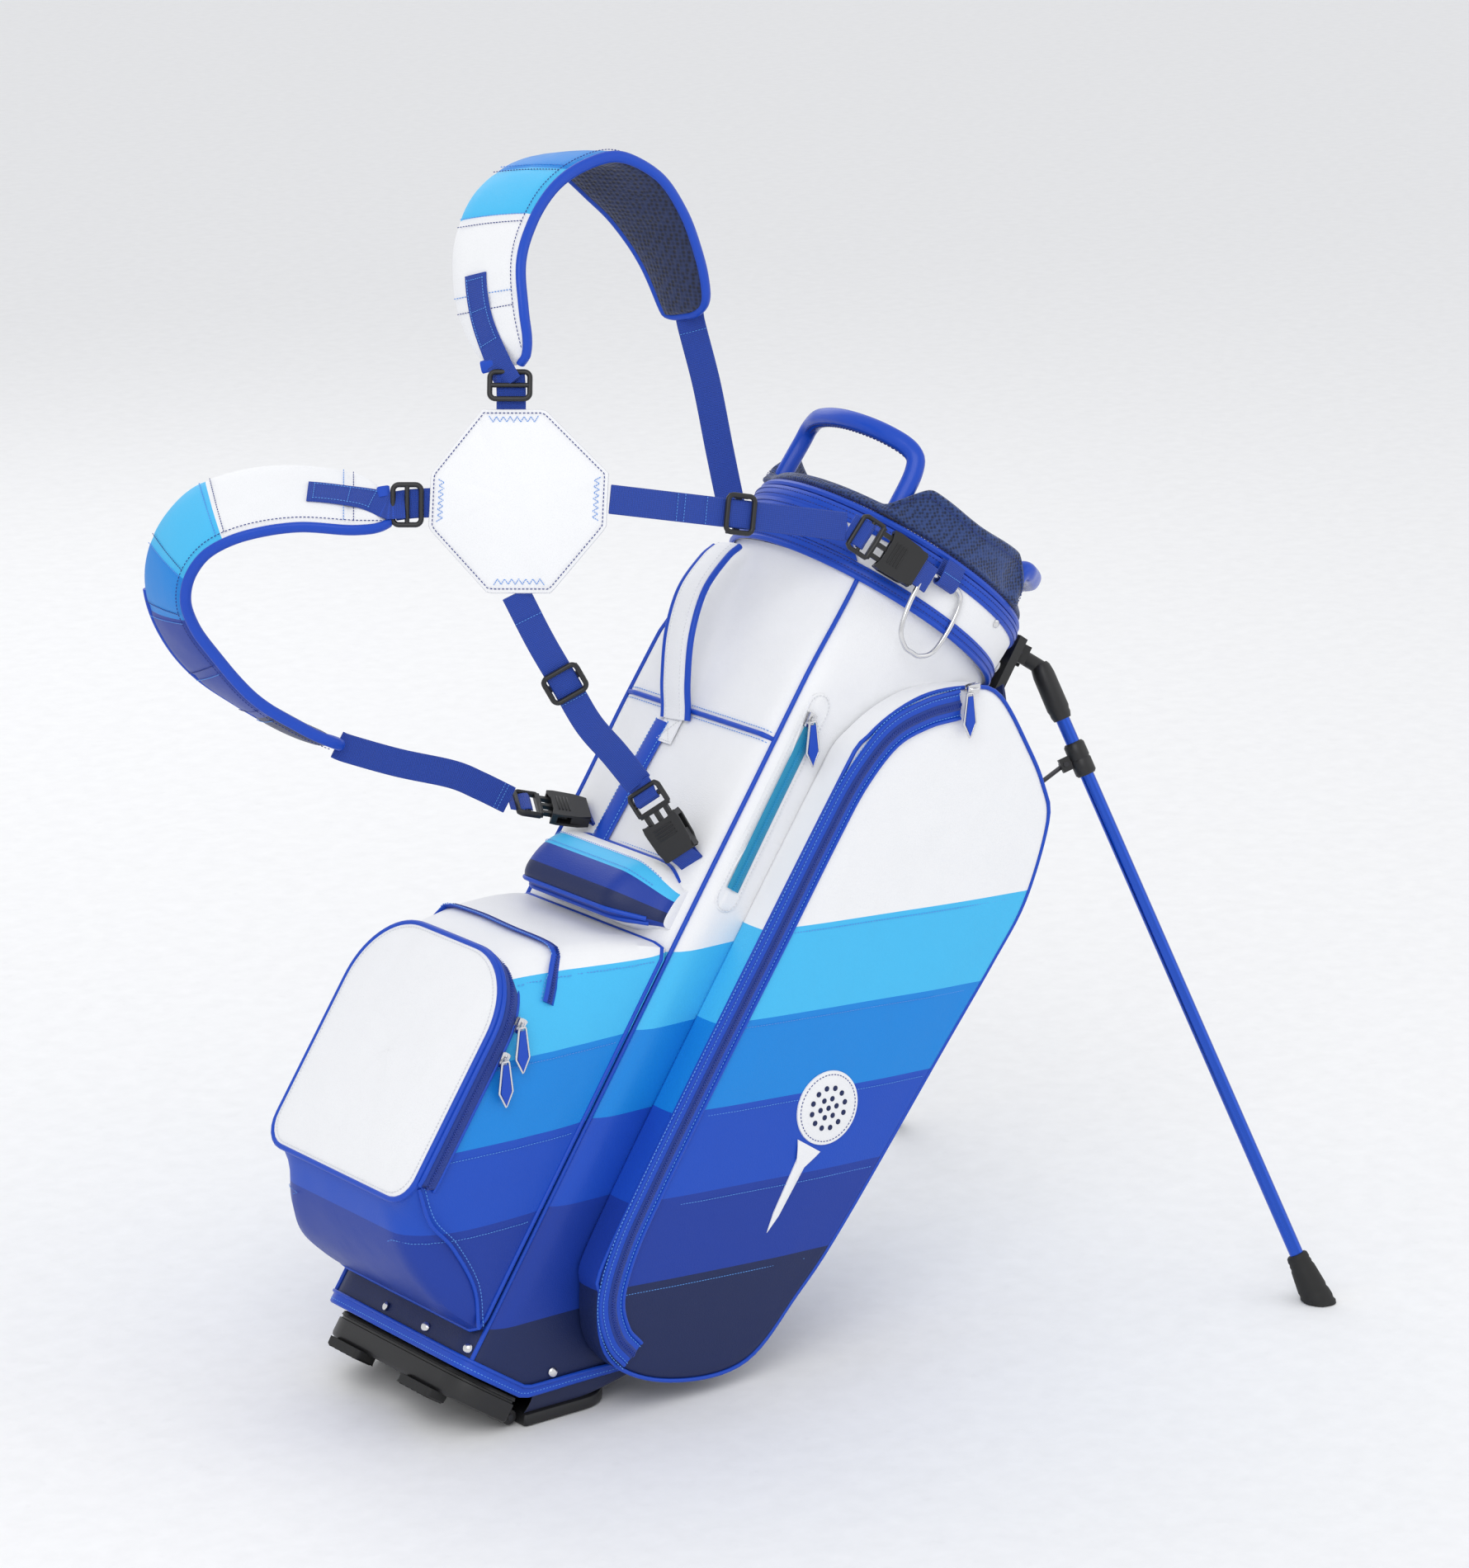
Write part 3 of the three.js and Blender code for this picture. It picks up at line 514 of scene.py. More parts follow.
def add_zip(pile, points, facing, width, tape=0, teeth=1, pitch=2.2, lift=0.6):
    """A zip: its tape with a raised middle and two rows of meshed teeth."""
    line = evenly(points, 6.0)
    many = isinstance(facing, list)
    if many:
        outs = [Vector(facing[min(i * len(facing) // len(line), len(facing) - 1)]) for i in range(len(line))]
    else:
        outs = [Vector(facing)] * len(line)
    pile.add(sweep(line, outs, flat_section(width, 1.0, 0.5)), tape)
    fine = evenly(points, pitch / 2)
    directions = tangents(fine)
    for i, (p, d) in enumerate(zip(fine, directions)):
        out = outs[min(i * len(outs) // len(fine), len(outs) - 1)]
        across = d.cross(out).normalized()
        up = across.cross(d)
        side = 1 if i % 2 else -1
        centre = p + across * (side * 0.75) + up * (lift + 0.55)
        rows = [[centre + d * (a * 0.42) + across * (b * 1.35) + up * c
                 for a, b in ((-1, -1), (1, -1), (1, 1), (-1, 1))]
                for c in (-0.6, 0.45)]
        pile.add(grid(rows, close_u=True), teeth)


def inflate(obj, pinned, pressure=4.0, cap=0.005, stiffness=15.0):
    """Cloth with air inside, held at the pinned vertices. Each point moves at most cap metres."""
    group = obj.vertex_groups.new(name="held")
    group.add(pinned, 1.0, "REPLACE")
    cloth = obj.modifiers.new("cloth", "CLOTH")
    settings = cloth.settings
    settings.vertex_group_mass = "held"
    settings.use_pressure = True
    settings.uniform_pressure_force = pressure
    settings.effector_weights.gravity = 0
    settings.tension_stiffness = settings.compression_stiffness = stiffness
    settings.bending_stiffness = 0.8
    settings.quality = 5
    cloth.point_cache.frame_start, cloth.point_cache.frame_end = 1, 20
    scene = bpy.context.scene
    for step in range(1, 21):
        scene.frame_set(step)
        bpy.context.view_layer.update()
    evaluated = obj.evaluated_get(bpy.context.evaluated_depsgraph_get())
    moved = [v.co.copy() for v in evaluated.data.vertices]
    obj.modifiers.remove(cloth)
    scene.frame_set(1)
    for vertex, co in zip(obj.data.vertices, moved):
        step = co - vertex.co
        if step.length > cap:
            step *= cap / step.length
        vertex.co += step
    obj.vertex_groups.remove(group)


# ---------------------------------------------------------------- body of the bag
def body_section(count=120):
    """The bag's outline across its length: tight corners at the back, rounder ones at the front."""
    corners = [(112, 112, 40, 0), (-118, 112, 26, 90), (-118, -112, 26, 180), (112, -112, 40, 270)]
    points = []
    for x, y, r, start in corners:
        cx, cy = x - math.copysign(r, x), y - math.copysign(r, y)
        for i in range(9):
            a = radians(start + 90 * i / 8)
            points.append((cx + r * cos(a), cy + r * sin(a), 0))
    return evenly(points, 900 / count, closed=True)


def smoothstep(low, high, value):
    t = min(1.0, max(0.0, (value - low) / (high - low)))
    return t * t * (3 - 2 * t)


def body_bottom(x):
    return max(28.0, 9 + (21 + LEAN_SIN * (x + 40)) / LEAN_COS)


def body_top(x):
    return 789.0 - x * math.tan(radians(4.5))


BODY = body_section()


def body_point(p, share, inset=0.0):
    low, high = body_bottom(p.x), body_top(p.x)
    s = low + (high - low) * share
    flat = Vector((p.x, p.y, 0))
    flare = smoothstep(690, 790, s)
    circle = flat.normalized() * 123.5
    bulge = 1 + 0.018 * sin(pi * min(1, max(0, (s - 60) / 700)))
    spot = flat.lerp(circle, flare * 0.85) * (bulge if flare < 0.5 else 1 + (bulge - 1) * (1 - flare) * 2)
    rough = noise.noise(Vector((p.x / 60, p.y / 60, s / 90))) * 1.1 * (1 - flare)
    spot += flat.normalized() * (rough - inset)
    return Vector((spot.x, spot.y, s))


def body_rows(inset, low_share=0.0, steps=90):
    return [[body_point(p, low_share + (1 - low_share) * j / steps, inset) for p in BODY]
            for j in range(steps + 1)]


outer_rows, inner_rows = body_rows(0), body_rows(3.2, 0.13, 60)
skin = Pile(back_bands, lining)
skin.add(grid(outer_rows, close_u=True, caps=False))
lip = [outer_rows[-1], inner_rows[-1]]
skin.add(grid(lip, close_u=True, caps=False))
skin.add(grid(inner_rows, close_u=True, caps=False), 1)
skin.add(grid([inner_rows[0], [Vector((0, 0, 125))] * len(BODY)], close_u=True, caps=False), 1)
skin.add(grid([outer_rows[0], [Vector((0, 0, 60))] * len(BODY)], close_u=True, caps=False), 1)
skin.make("body_skin", "bag", BAG, "white_leather", ["body_shell"])

seams = Pile(trim, thread_light, thread_blue, nickel)


# Bottom binding, rivets above it, and piping up the two back corners.
hem = [body_point(p, 0.0, -1.0) for p in BODY]
hem_out = [Vector((p.x, p.y, 0)).normalized() for p in BODY]
seams.add(sweep([p + Vector((0, 0, 5)) for p in hem], hem_out, flat_section(10, 2.4), closed=True))
seams.add(tube([p + Vector((0, 0, 10.5)) + o * 1.5 for p, o in zip(hem, hem_out)], 1.7, closed=True))
add_stitches(seams, [p + Vector((0, 0, 4)) + o * 1.0 for p, o in zip(hem, hem_out)], hem_out, 1, closed=True)


def rivet(pile, spot, out, radius=4.2, slot=3):
    out = Vector(out).normalized()
    profile = [(0, radius * 0.9), (0.45, radius), (0.75, radius * 0.8), (0.95, radius * 0.35), (1, 0.2)]
    pile.add(turned(Vector(spot) - out * 0.8, Vector(spot) + out * 2.0, profile, 20), slot)


for index in (14, 30, 44, 52, 60, 72, 84, 100, 112):
    p = BODY[index % len(BODY)]
    spot = body_point(p, 0.0, -1.5) + Vector((0, 0, 19))
    rivet(seams, spot, Vector((p.x, p.y, 0)))

for sign in (-1, 1):
    corner = min(BODY, key=lambda p: (p - Vector((-112, sign * 106, 0))).length)
    line = [body_point(corner, 0.012 + 0.986 * i / 60, -1.2) for i in range(61)]
    seams.add(tube(line, 2.1))
    side = [p + Vector((9, -sign * 0.2 + sign * 2.4, 0)) for p in line]
    add_stitches(seams, side[9:], (0, sign, 0), 1)
    back = [p + Vector((-3.0, -sign * 9, 0)) for p in line]
    add_stitches(seams, back[45:], (-1, 0, 0), 1)

# Cross seam on the back panel, and a pen sleeve.
def back_at(y, s, out=1.4):
    corner = min(BODY, key=lambda p: abs(p.y - y) + (0 if p.x < -60 else 500))
    share = (s - body_bottom(corner.x)) / (body_top(corner.x) - body_bottom(corner.x))
    spot = body_point(corner, share, -out)
    return Vector((spot.x, y, s))


cross = [back_at(y, 633) for y in range(-106, 110, 4)]
seams.add(tube(cross, 2.3))
for offset in (5, -5):
    add_stitches(seams, [p + Vector((0, 0, offset)) for p in cross[1:-1]], (-1, 0, 0), 1)
sleeve = Pile(trim, thread_light, white, thread_white)
strip = [back_at(33 + 0.06 * (600 - s), s, 2.0) for s in range(496, 622, 6)]
sleeve.add(sweep(strip, (-1, 0, 0), flat_section(22, 2.2, 1.5)))
for offset in (-8.5, 8.5):
    add_stitches(sleeve, [p + Vector((-2.2, offset, 0)) for p in strip], (-1, 0, 0), 1)
sleeve.make("pen_sleeve", "bag", BAG, "blue_leather")

# Slim zip on the near side: a long patch with rounded ends, the tape and its teeth.
slim = Pile(white, cyan_tape, teeth_cyan, thread_white, white)


def near_at(x, s, out=1.0):
    corner = min(BODY, key=lambda p: abs(p.x - x) + (0 if p.y < -60 else 500))
    share = (s - body_bottom(corner.x)) / (body_top(corner.x) - body_bottom(corner.x))
    spot = body_point(corner, share, -out)
    return Vector((x, spot.y, s))


slim_line = [near_at(-90, s, 1.6) for s in range(500, 668, 6)]
outline = []
for i in range(48):
    a = 2 * pi * i / 48
    outline.append((-90 + 13 * cos(a), (584) + math.copysign(92, sin(a)) + 13 * sin(a)))
patch_rows = []
for scale, out in ((1.0, 0.4), (0.99, 1.5), (0.9, 1.9), (0.3, 1.9), (0.02, 1.9)):
    patch_rows.append([near_at(-90 + (x + 90) * scale, 584 + (s - 584) * scale, out) for x, s in outline])
slim.add(grid(patch_rows, close_u=True))
stitched = evenly([near_at(-90 + (x + 90) * 0.86, 584 + (s - 584) * 0.985, 2.0) for x, s in outline], 3,
                  closed=True)
add_stitches(slim, stitched, (0, -1, 0), 3, closed=True)
add_zip(slim, [p + Vector((0, -1.2, 0)) for p in slim_line], (0, -1, 0), 14, 1, 2, 2.2)
slim.make("slim_zip", "bag", BAG, "white_leather")
seams.make("body_seams", "bag", BAG, "blue_leather")

# ---------------------------------------------------------------- side pockets
POCKET = [(-8, 90), (63, 95), (135, 138), (158, 215), (171, 290), (188, 469), (197, 560), (200, 624),
          (183, 696),
          (160, 720), (125, 741), (63, 768), (25, 758), (-22, 725), (-55, 672), (-62, 610), (-64, 200),
          (-50, 135)]
pocket_line = evenly(curve_points([(x, s, 0) for x, s in POCKET], 400, True), 9.5, closed=True)
POCKET_CENTRE = Vector((62, 430, 0))
# The zip runs up the back edge and over the top, on a band of its own.
ZIP = [(10, 104), (-14, 112), (-38, 136), (-50, 180), (-53, 240), (-53, 360), (-51, 480), (-50, 580),
       (-47, 636),
       (-34, 684), (-8, 716), (22, 739)]


def pocket_depth(x, s, rim):
    """How far the face stands out: crowned in the middle, tucked in at its rim."""
    return 149.0 + 3.2 * smoothstep(0.0, 0.45, rim) + noise.noise(Vector((x / 70, s / 90, 3.1))) * 1.3 * rim


for side, sign in (("near", -1), ("far", 1)):
    pocket = Pile(side_bands, navy)
    rings = (1.0, 1.0, 0.995, 0.985, 0.965, 0.93, 0.88, 0.8, 0.7, 0.58, 0.45, 0.3, 0.15, 0.02)
    depths = (None, 141.0, 145.5, 148.2, 149.2)
    rows = []
    for index, scale in enumerate(rings):
        row = []
        for p in pocket_line:
            q = POCKET_CENTRE.lerp(p, scale)
            if index == 0:
                y = 112.6 - 34.6 * smoothstep(108, 120, q.x)
            elif index < len(depths):
                y = depths[index]
            else:
                y = pocket_depth(q.x, q.y, 1 - scale)
            row.append(Vector((q.x, sign * y, q.y)))
        rows.append(row)
    back = []
    for scale in (0.96, 0.8, 0.5, 0.02):
        row = []
        for p in pocket_line:
            q = POCKET_CENTRE.lerp(p, scale)
            row.append(Vector((q.x, sign * (112.6 - 34.6 * smoothstep(108, 120, q.x)), q.y)))
        back.append(row)
    pocket.add(grid(back[::-1] + rows, close_u=True))
    made = pocket.make(f"side_pocket_skin_{side}", "bag", BAG, "white_leather", [f"side_pocket_{side}"],
                       divide=1)

    edging = Pile(trim, zip_tape, teeth_blue, thread_light, white, navy)
    out = (0, sign, 0)
    rim = [Vector((POCKET_CENTRE.lerp(p, 0.996).x, sign * 147.0, POCKET_CENTRE.lerp(p, 0.996).y))
           for p in pocket_line]
    edging.add(tube(rim, 1.9, 10, closed=True))
    zip_line = evenly([Vector((p.x, sign * 150.3, p.y))
                       for p in curve_points([(x, s, 0) for x, s in ZIP], 160)], 5)
    edging.add(sweep(zip_line, out, flat_section(23, 3.0, 0.8)))
    add_zip(edging, [p + Vector((0, sign * 2.2, 0)) for p in zip_line], out, 9, 1, 2, 2.4)
    directions = tangents(zip_line)
    for offset, radius in ((-12.2, 1.9), (12.2, 1.9), (-6.2, 0.9), (6.2, 0.9)):
        line = [p + d.cross(Vector(out)) * offset + Vector((0, sign * 1.2, 0))
                for p, d in zip(zip_line, directions)]
        edging.add(tube(line, radius, 8))
    for offset in (-9.2, 9.2, 15.5):
        line = [p + d.cross(Vector(out)) * (offset * sign) + Vector((0, sign * 1.7, 0))
                for p, d in zip(zip_line, directions)]
        add_stitches(edging, line, out, 3)
    # A line of stitches under each colour change.
    for height in (0.106, 0.180, 0.256, 0.330, 0.409):
        line = []
        for x in range(-36, 196, 3):
            # Height and slope of the boundary, turned into a place along the bag at this x.
            row_base_x = BASE_X + LEAN_COS * (x + 40) / 1000 - LEAN_SIN * 0.009
            row_base_z = HINGE_Z - LEAN_SIN * (x + 40) / 1000 - LEAN_COS * 0.009
            s = (height - 0.004 - row_base_z - 0.06 * row_base_x) / (LEAN_COS + 0.06 * LEAN_SIN) * 1000
            q = Vector((x, s, 0))
            spread = q - POCKET_CENTRE
            reach = min((p - POCKET_CENTRE).length / max(1e-6, spread.length) for p in pocket_line
                        if (p - POCKET_CENTRE).normalized().dot(spread.normalized()) > 0.995)
            if reach > 1.04:
                line.append(Vector((x, sign * (pocket_depth(x, s, 1 - 1 / reach) + 0.3), s)))
        if len(line) > 3:
            add_stitches(edging, line, out, 3, 3.0, 2.0, 0.34)
    # A pad on the pocket's front edge, where the leg rests when folded.
    pad = [Vector((187 + 0.09 * (s - 476), sign * 118, s)) for s in range(478, 556, 6)]
    edging.add(sweep(pad, (1, 0, -0.1), flat_section(26, 5.0, 1.0)), 5)
    edging.make(f"side_pocket_edging_{side}", "bag", BAG, "blue_leather")

# A plain mark of the makers' own on each side: a golf ball on its tee.
for side, sign in (("near", -1), ("far", 1)):
    mark = Pile(white, thread_blue, navy)

    def on_face(x, s, out, sign=sign):
        spread = Vector((x, s, 0)) - POCKET_CENTRE
        return Vector((x, sign * (pocket_depth(x, s, max(0.2, 1 - spread.length / 260)) + out), s))

    ball_x, ball_s, ball_r = 88.0, 372.0, 34.0
    disc_rows = []
    for share, out in ((1.0, 0.2), (0.99, 1.3), (0.9, 1.7), (0.5, 2.1), (0.02, 2.2)):
        disc_rows.append([on_face(ball_x + ball_r * share * cos(2 * pi * i / 64),
                                  ball_s + ball_r * share * sin(2 * pi * i / 64), out) for i in range(64)])
    mark.add(grid(disc_rows, close_u=True))
    add_stitches(mark, [on_face(ball_x + 30.5 * cos(2 * pi * i / 90), ball_s + 30.5 * sin(2 * pi * i / 90),
                                1.6)
                        for i in range(90)], (0, sign, 0), 1, closed=True)
    for ring_r, dots in ((0, 1), (9, 6), (18.5, 12)):
        for i in range(dots):
            a = 2 * pi * i / dots + ring_r
            spot = on_face(ball_x + ring_r * cos(a), ball_s + ring_r * sin(a), 1.4)
            mark.add(turned(spot, spot + Vector((0, sign * 1.3, 0)), [(0, 2.6), (0.8, 2.5), (1, 2.0)], 14), 2)
    # The tee hangs below the ball along the bag.
    tee = [(-15, -37), (15, -37), (6, -50), (3.4, -104), (0, -122), (-3.4, -104), (-6, -50)]
    rows = []
    for share, out in ((1.0, 0.2), (0.99, 1.3), (0.8, 1.7), (0.02, 1.8)):
        rows.append([on_face(ball_x + x * share, ball_s - 66 + (s + 66) * (share if share < 0.9 else 1), out)
                     for x, s in tee])
    mark.add(grid(rows, close_u=True))
    mark.make(f"side_mark_{side}", "bag", BAG, "white_leather")

# ---------------------------------------------------------------- ball pocket and its door
DOOR = []
for i in range(13):
    a = radians(-90 + 90 * i / 12)
    DOOR.append((83 + 24 * cos(a), 156 + 24 * sin(a)))
for i in range(17):
    a = radians(90 * i / 16)
    DOOR.append((41 + 66 * cos(a), 290 + 66 * sin(a)))
DOOR += [(-y, s) for y, s in DOOR[::-1]]
door_line = [(p.x, p.y) for p in evenly([Vector((y, s, 0)) for y, s in DOOR], 6.5, closed=True)]
DOOR_MIDDLE = 245.0


def loop_at(angle, points):
    """Where a ray from the door's middle meets an outline."""
    best, reach = None, -2.0
    d = Vector((cos(angle), sin(angle)))
    for y, s in points:
        v = Vector((y, s - DOOR_MIDDLE))
        if v.normalized().dot(d) > reach:
            reach, best = v.normalized().dot(d), v
    return best


base_outline = [(p.x, p.y) for p in evenly([Vector(q) for q in (
    (100, 62, 0), (108, 70, 0), (108, 424, 0), (100, 430, 0), (-100, 430, 0), (-108, 424, 0), (-108, 70, 0),
    (-100, 62, 0))], 2.0, closed=True)]
ball = Pile(back_bands, lining)
angles = [math.atan2(s - DOOR_MIDDLE, y) for y, s in door_line]
start_loop = [loop_at(a, base_outline) for a in angles]
rows = []
for j in range(29):
    d = j / 28
    row = []
    for (y, s), base in zip(door_line, start_loop):
        end = Vector((y, s - DOOR_MIDDLE))
        up = smoothstep(-60, 120, end.y)
        f = d ** (2.5 - 1.2 * up)
        across = base.x + (end.x - base.x) * f
        along = base.y + (end.y - base.y) * f
        puff = 4.5 * sin(pi * min(1, d * 1.05)) ** 0.8 * smoothstep(60, 108, abs(across))
        across += math.copysign(puff, across) * (1 - 0.55 * d)
        wave = noise.noise(Vector((d * 3, across / 50, along / 60))) * 1.6 * sin(pi * d)
        row.append(Vector((-117.5 - 132.0 * d, across + math.copysign(wave, across),
                           DOOR_MIDDLE + along + wave)))
    rows.append(row)
inside = [[Vector((-249.5 + 3 * k, y * f, DOOR_MIDDLE + (s - DOOR_MIDDLE) * f)) for y, s in door_line]
          for k, f in ((0, 0.93), (2, 0.86), (60, 0.86), (116, 0.86))]
ball.add(grid(rows, close_u=True, caps=False))
ball.add(grid([rows[-1]] + inside, close_u=True, caps=False), 1)
ball.add(grid([inside[-1], [Vector((-133, 0, DOOR_MIDDLE))] * len(door_line)], close_u=True, caps=False), 1)
ball_obj = ball.make("ball_pocket_skin", "bag", BAG, "white_leather", ["ball_pocket"])

ball_edging = Pile(trim, zip_tape, teeth_blue, thread_light, white, thread_blue)
base_loop = rows[1]
ball_edging.add(tube([p + Vector((1, 0, 0)) for p in base_loop], 1.9, closed=True))
# The door's zip runs up the near side, over the top and down the far side, on a gusset.
gusset = [(y, s) for y, s in door_line if s > 150]
gusset.sort(key=lambda q: math.atan2(q[1] - 200, q[0]) % (2 * pi) if q[1] > 150 else 0)
gusset_line = [Vector((y * 1.012 + math.copysign(1.2, y), s, 0)) for y, s in gusset]


def gusset_at(x_local, lift):
    line, outs = [], []
    for q in gusset_line:
        out = Vector((0, q.x, q.y - 265)).normalized()
        if q.y < 290:
            out = Vector((0, math.copysign(1, q.x), 0))
        line.append(Vector((x_local, q.x, q.y)) + out * lift)
        outs.append(out)
    return line, outs


line, outs = gusset_at(-243, 1.6)
add_zip(ball_edging, line, outs, 15, 1, 2, 2.4)
for place, radius in ((-251.5, 2.2), (-234.5, 1.5)):
    line, outs = gusset_at(place, 1.4)
    ball_edging.add(tube(line, radius, 10))
lower_rim = [Vector((-251.5, y, s)) for y, s in door_line if s < 156]
lower_rim.sort(key=lambda p: p.y)
ball_edging.add(tube(lower_rim, 2.2, 10))
# A second zip arches over the pocket's top and part way down both sides.
arch_row = rows[19]
arch = [p for p in arch_row if p.z > 338]
arch.sort(key=lambda p: math.atan2(p.z - 250, p.y))
arch_out = [Vector((-0.25, p.y * (1 if abs(p.y) > 95 else 0.1), max(0.0, p.z - 345) * 2 + 4)).normalized()
            for p in arch]
ball_edging.add(sweep([p + o * 0.8 for p, o in zip(arch, arch_out)], arch_out, flat_section(13, 2.0, 0.6)), 0)
add_zip(ball_edging, [p + o * 2.0 for p, o in zip(arch, arch_out)], arch_out, 6, 1, 2, 2.4)
for offset in (-9.0, 9.0):
    directions = tangents(arch)
    add_stitches(ball_edging, [p + d.cross(o) * offset + o * 0.6
                               for p, d, o in zip(arch, directions, arch_out)],
                 arch_out, 3)
# Stitches under each colour change along the sides, and a curved seam across the lower sides.
for sign in (-1, 1):
    for height in (0.097, 0.192, 0.262, 0.334, 0.398):
        line = []
        for x in range(-236, -126, 3):
            s = 9 + (height - 0.004 - HINGE_Z + LEAN_SIN * (x + 40) / 1000) / LEAN_COS * 1000
            d = (-117.5 - x) / 132.0
            row = rows[min(28, max(0, round(d * 28)))]
            near = [p for p in row if p.y * sign > 60 and abs(p.z - s) < 12]
            if near:
                spot = min(near, key=lambda p: abs(p.z - s))
                line.append(Vector((x, spot.y + sign * 0.5, s)))
        if len(line) > 3:
            add_stitches(ball_edging, line, (0, sign, 0), 3, 3.0, 2.0, 0.34)
    curve = curve_points([(-247, sign * 106, 150), (-222, sign * 109.5, 128), (-190, sign * 111, 118),
                          (-150, sign * 111.5, 96), (-124, sign * 110, 66)], 40)
    ball_edging.add(tube(curve, 1.8, 10))
    add_stitches(ball_edging, [p + Vector((2, sign * 0.8, 4.5)) for p in curve], (0, sign, 0), 3)
ball_edging.make("ball_pocket_edging", "bag", BAG, "blue_leather")

door = Pile(white, zip_tape, thread_white)
rows = []
rims = (1.0, 1.0, 0.997, 0.985, 0.96, 0.92, 0.86, 0.78, 0.68, 0.56, 0.43, 0.3, 0.16, 0.02)
for index, f in enumerate(rims):
    crown = -256.1 - 4.5 * smoothstep(0, 0.7, 1 - f)
    out = (-250.6, -252.8, -254.6, -255.6, -256.1)[index] if index < 5 else crown
    rows.append([Vector((out - noise.noise(Vector((y / 60, s / 60, 9.0))) * 0.8 * (1 - f), y * f,
                         DOOR_MIDDLE + (s - DOOR_MIDDLE) * f)) for y, s in door_line])
back = [[Vector((-250.6, y * f, DOOR_MIDDLE + (s - DOOR_MIDDLE) * f)) for y, s in door_line]
        for f in (0.02, 0.5, 0.9)]
door.add(grid(back + rows, close_u=True))
door_obj = door.make("ball_door_skin", "door", BAG, "white_leather", ["ball_pocket_door"])
held = [v.index for v in door_obj.data.vertices if v.index < (len(back) + 4) * len(door_line)]
inflate(door_obj, held, 3.0, 0.004)
door_rim = Pile(trim, thread_white)
door_rim.add(tube([Vector((-253.8, y * 1.003, DOOR_MIDDLE + (s - DOOR_MIDDLE) * 1.003))
                   for y, s in door_line],
                  2.7, 12, closed=True))
add_stitches(door_rim, [Vector((-256.6, y * 0.955, DOOR_MIDDLE + (s - DOOR_MIDDLE) * 0.965))
                        for y, s in door_line],
             (-1, 0, 0), 1, closed=True)
door_rim.make("ball_door_piping", "door", BAG, "blue_leather")

# ---------------------------------------------------------------- accessory pocket
HOOD = [(-118, 498), (-134, 496), (-149, 488), (-160, 474), (-166, 458), (-167, 444), (-160, 436),
        (-140, 433),
        (-118, 434)]
hood_line = evenly(curve_points([(x, 0, s) for x, s in HOOD], 60), 3.0)
hood = Pile(white, cyan, royal, navy, trim, zip_tape, thread_light)
rows, slots = [], []
for i in range(61):
    y = -98 + 196 * i / 60
    shrink = 1 - 0.78 * smoothstep(0.50, 1.0, abs(y) / 98) ** 1.5
    rows.append([Vector((-118 + (p.x + 118) * shrink, y, 460 + (p.z - 460) * (0.45 + 0.55 * shrink)))
                 for p in hood_line])
cells = len(hood_line) - 1
panel_of = [next(slot for stop, slot in ((0.24, 0), (0.36, 1), (0.52, 2), (0.66, 3), (0.82, 2),
                                         (2, 0)) if k / cells < stop)
            for k in range(cells)]
hood.add(grid(rows, caps=False), panel_of * (len(rows) - 1))
hood.add(grid([rows[0], [Vector((-118, -98, 466))] * len(hood_line)], caps=False), 0)
hood.add(grid([rows[-1], [Vector((-118, 98, 466))] * len(hood_line)], caps=False), 0)
for pick in (0.03, 0.67, 0.77):
    spot = int(pick * (len(hood_line) - 1))
    line = [row[spot] for row in rows[4:-4]]
    outs = [(row[min(spot + 1, len(row) - 1)] - row[spot - 1]).cross(Vector((0, 1, 0))).normalized() * -1
            for row in rows[4:-4]]
    outs = [o if o.x < 0 or o.z > 0 else -o for o in outs]
    hood.add(tube([p + o * 0.4 for p, o in zip(line, outs)], 2.1, 10), 4)
    add_stitches(hood, [p + o * 0.6 + Vector((1.5, 0, 4)) for p, o in zip(line, outs)], outs, 6)
for share in (0.245, 0.365):
    spot = int(share * (len(hood_line) - 1))
    add_stitches(hood, [row[spot] + Vector((-0.5, 0, 0.6)) for row in rows[6:-6]], (-0.7, 0, 0.7), 6, 3.0,
                 2.0, 0.34)
hood_obj = hood.make("accessory_hood", "bag", BAG, "white_leather", ["accessory_pocket"])

# ---------------------------------------------------------------- carry handle
handle = Pile(white, trim, thread_white)
route = [Vector(p) for p in ((-121, 19, 622), (-126, 20, 632), (-138, 22, 652), (-154, 26, 690),
                             (-158, 32, 730),
                             (-147, 38, 765), (-137, 41, 781))]
route = evenly(curve_points(route, 80), 4.0)
handle.add(sweep(route, (-1, 0, 0), flat_section(33, 7.0, 1.5)))
directions = tangents(route)
for offset in (-16.5, 16.5, -9.5, 9.5):
    out = Vector((-1, 0, 0))
    line = []
    for p, d in zip(route, directions):
        across = d.cross(out).normalized()
        line.append(p + across * offset + across.cross(d) * (0.6 if abs(offset) > 12 else 4.0))
    if abs(offset) > 12:
        handle.add(tube(line, 2.9, 12), 1)
    else:
        add_stitches(handle, line, (-1, 0, 0), 2)
patch = [(-11, 598), (11, 598), (11, 622), (-11, 622)]
handle.add(slab([(y + 20, s) for y, s in patch], 0, 1.6,
                lambda y, s, z: back_at(y, s, 2.0) + Vector((-z, 0, 0))))
for a, b in (((12, 600), (28, 620)), ((28, 600), (12, 620)), ((12, 600), (28, 600)), ((12, 620), (28, 620))):
    add_stitches(handle, [back_at(a[0] + (b[0] - a[0]) * k / 8, a[1] + (b[1] - a[1]) * k / 8, 3.8)
                          for k in range(9)],
                 (-1, 0, 0), 2, 3.0, 2.0, 0.34)
handle_obj = handle.make("carry_handle_strap", "bag", BAG, "white_leather", ["carry_handle"])

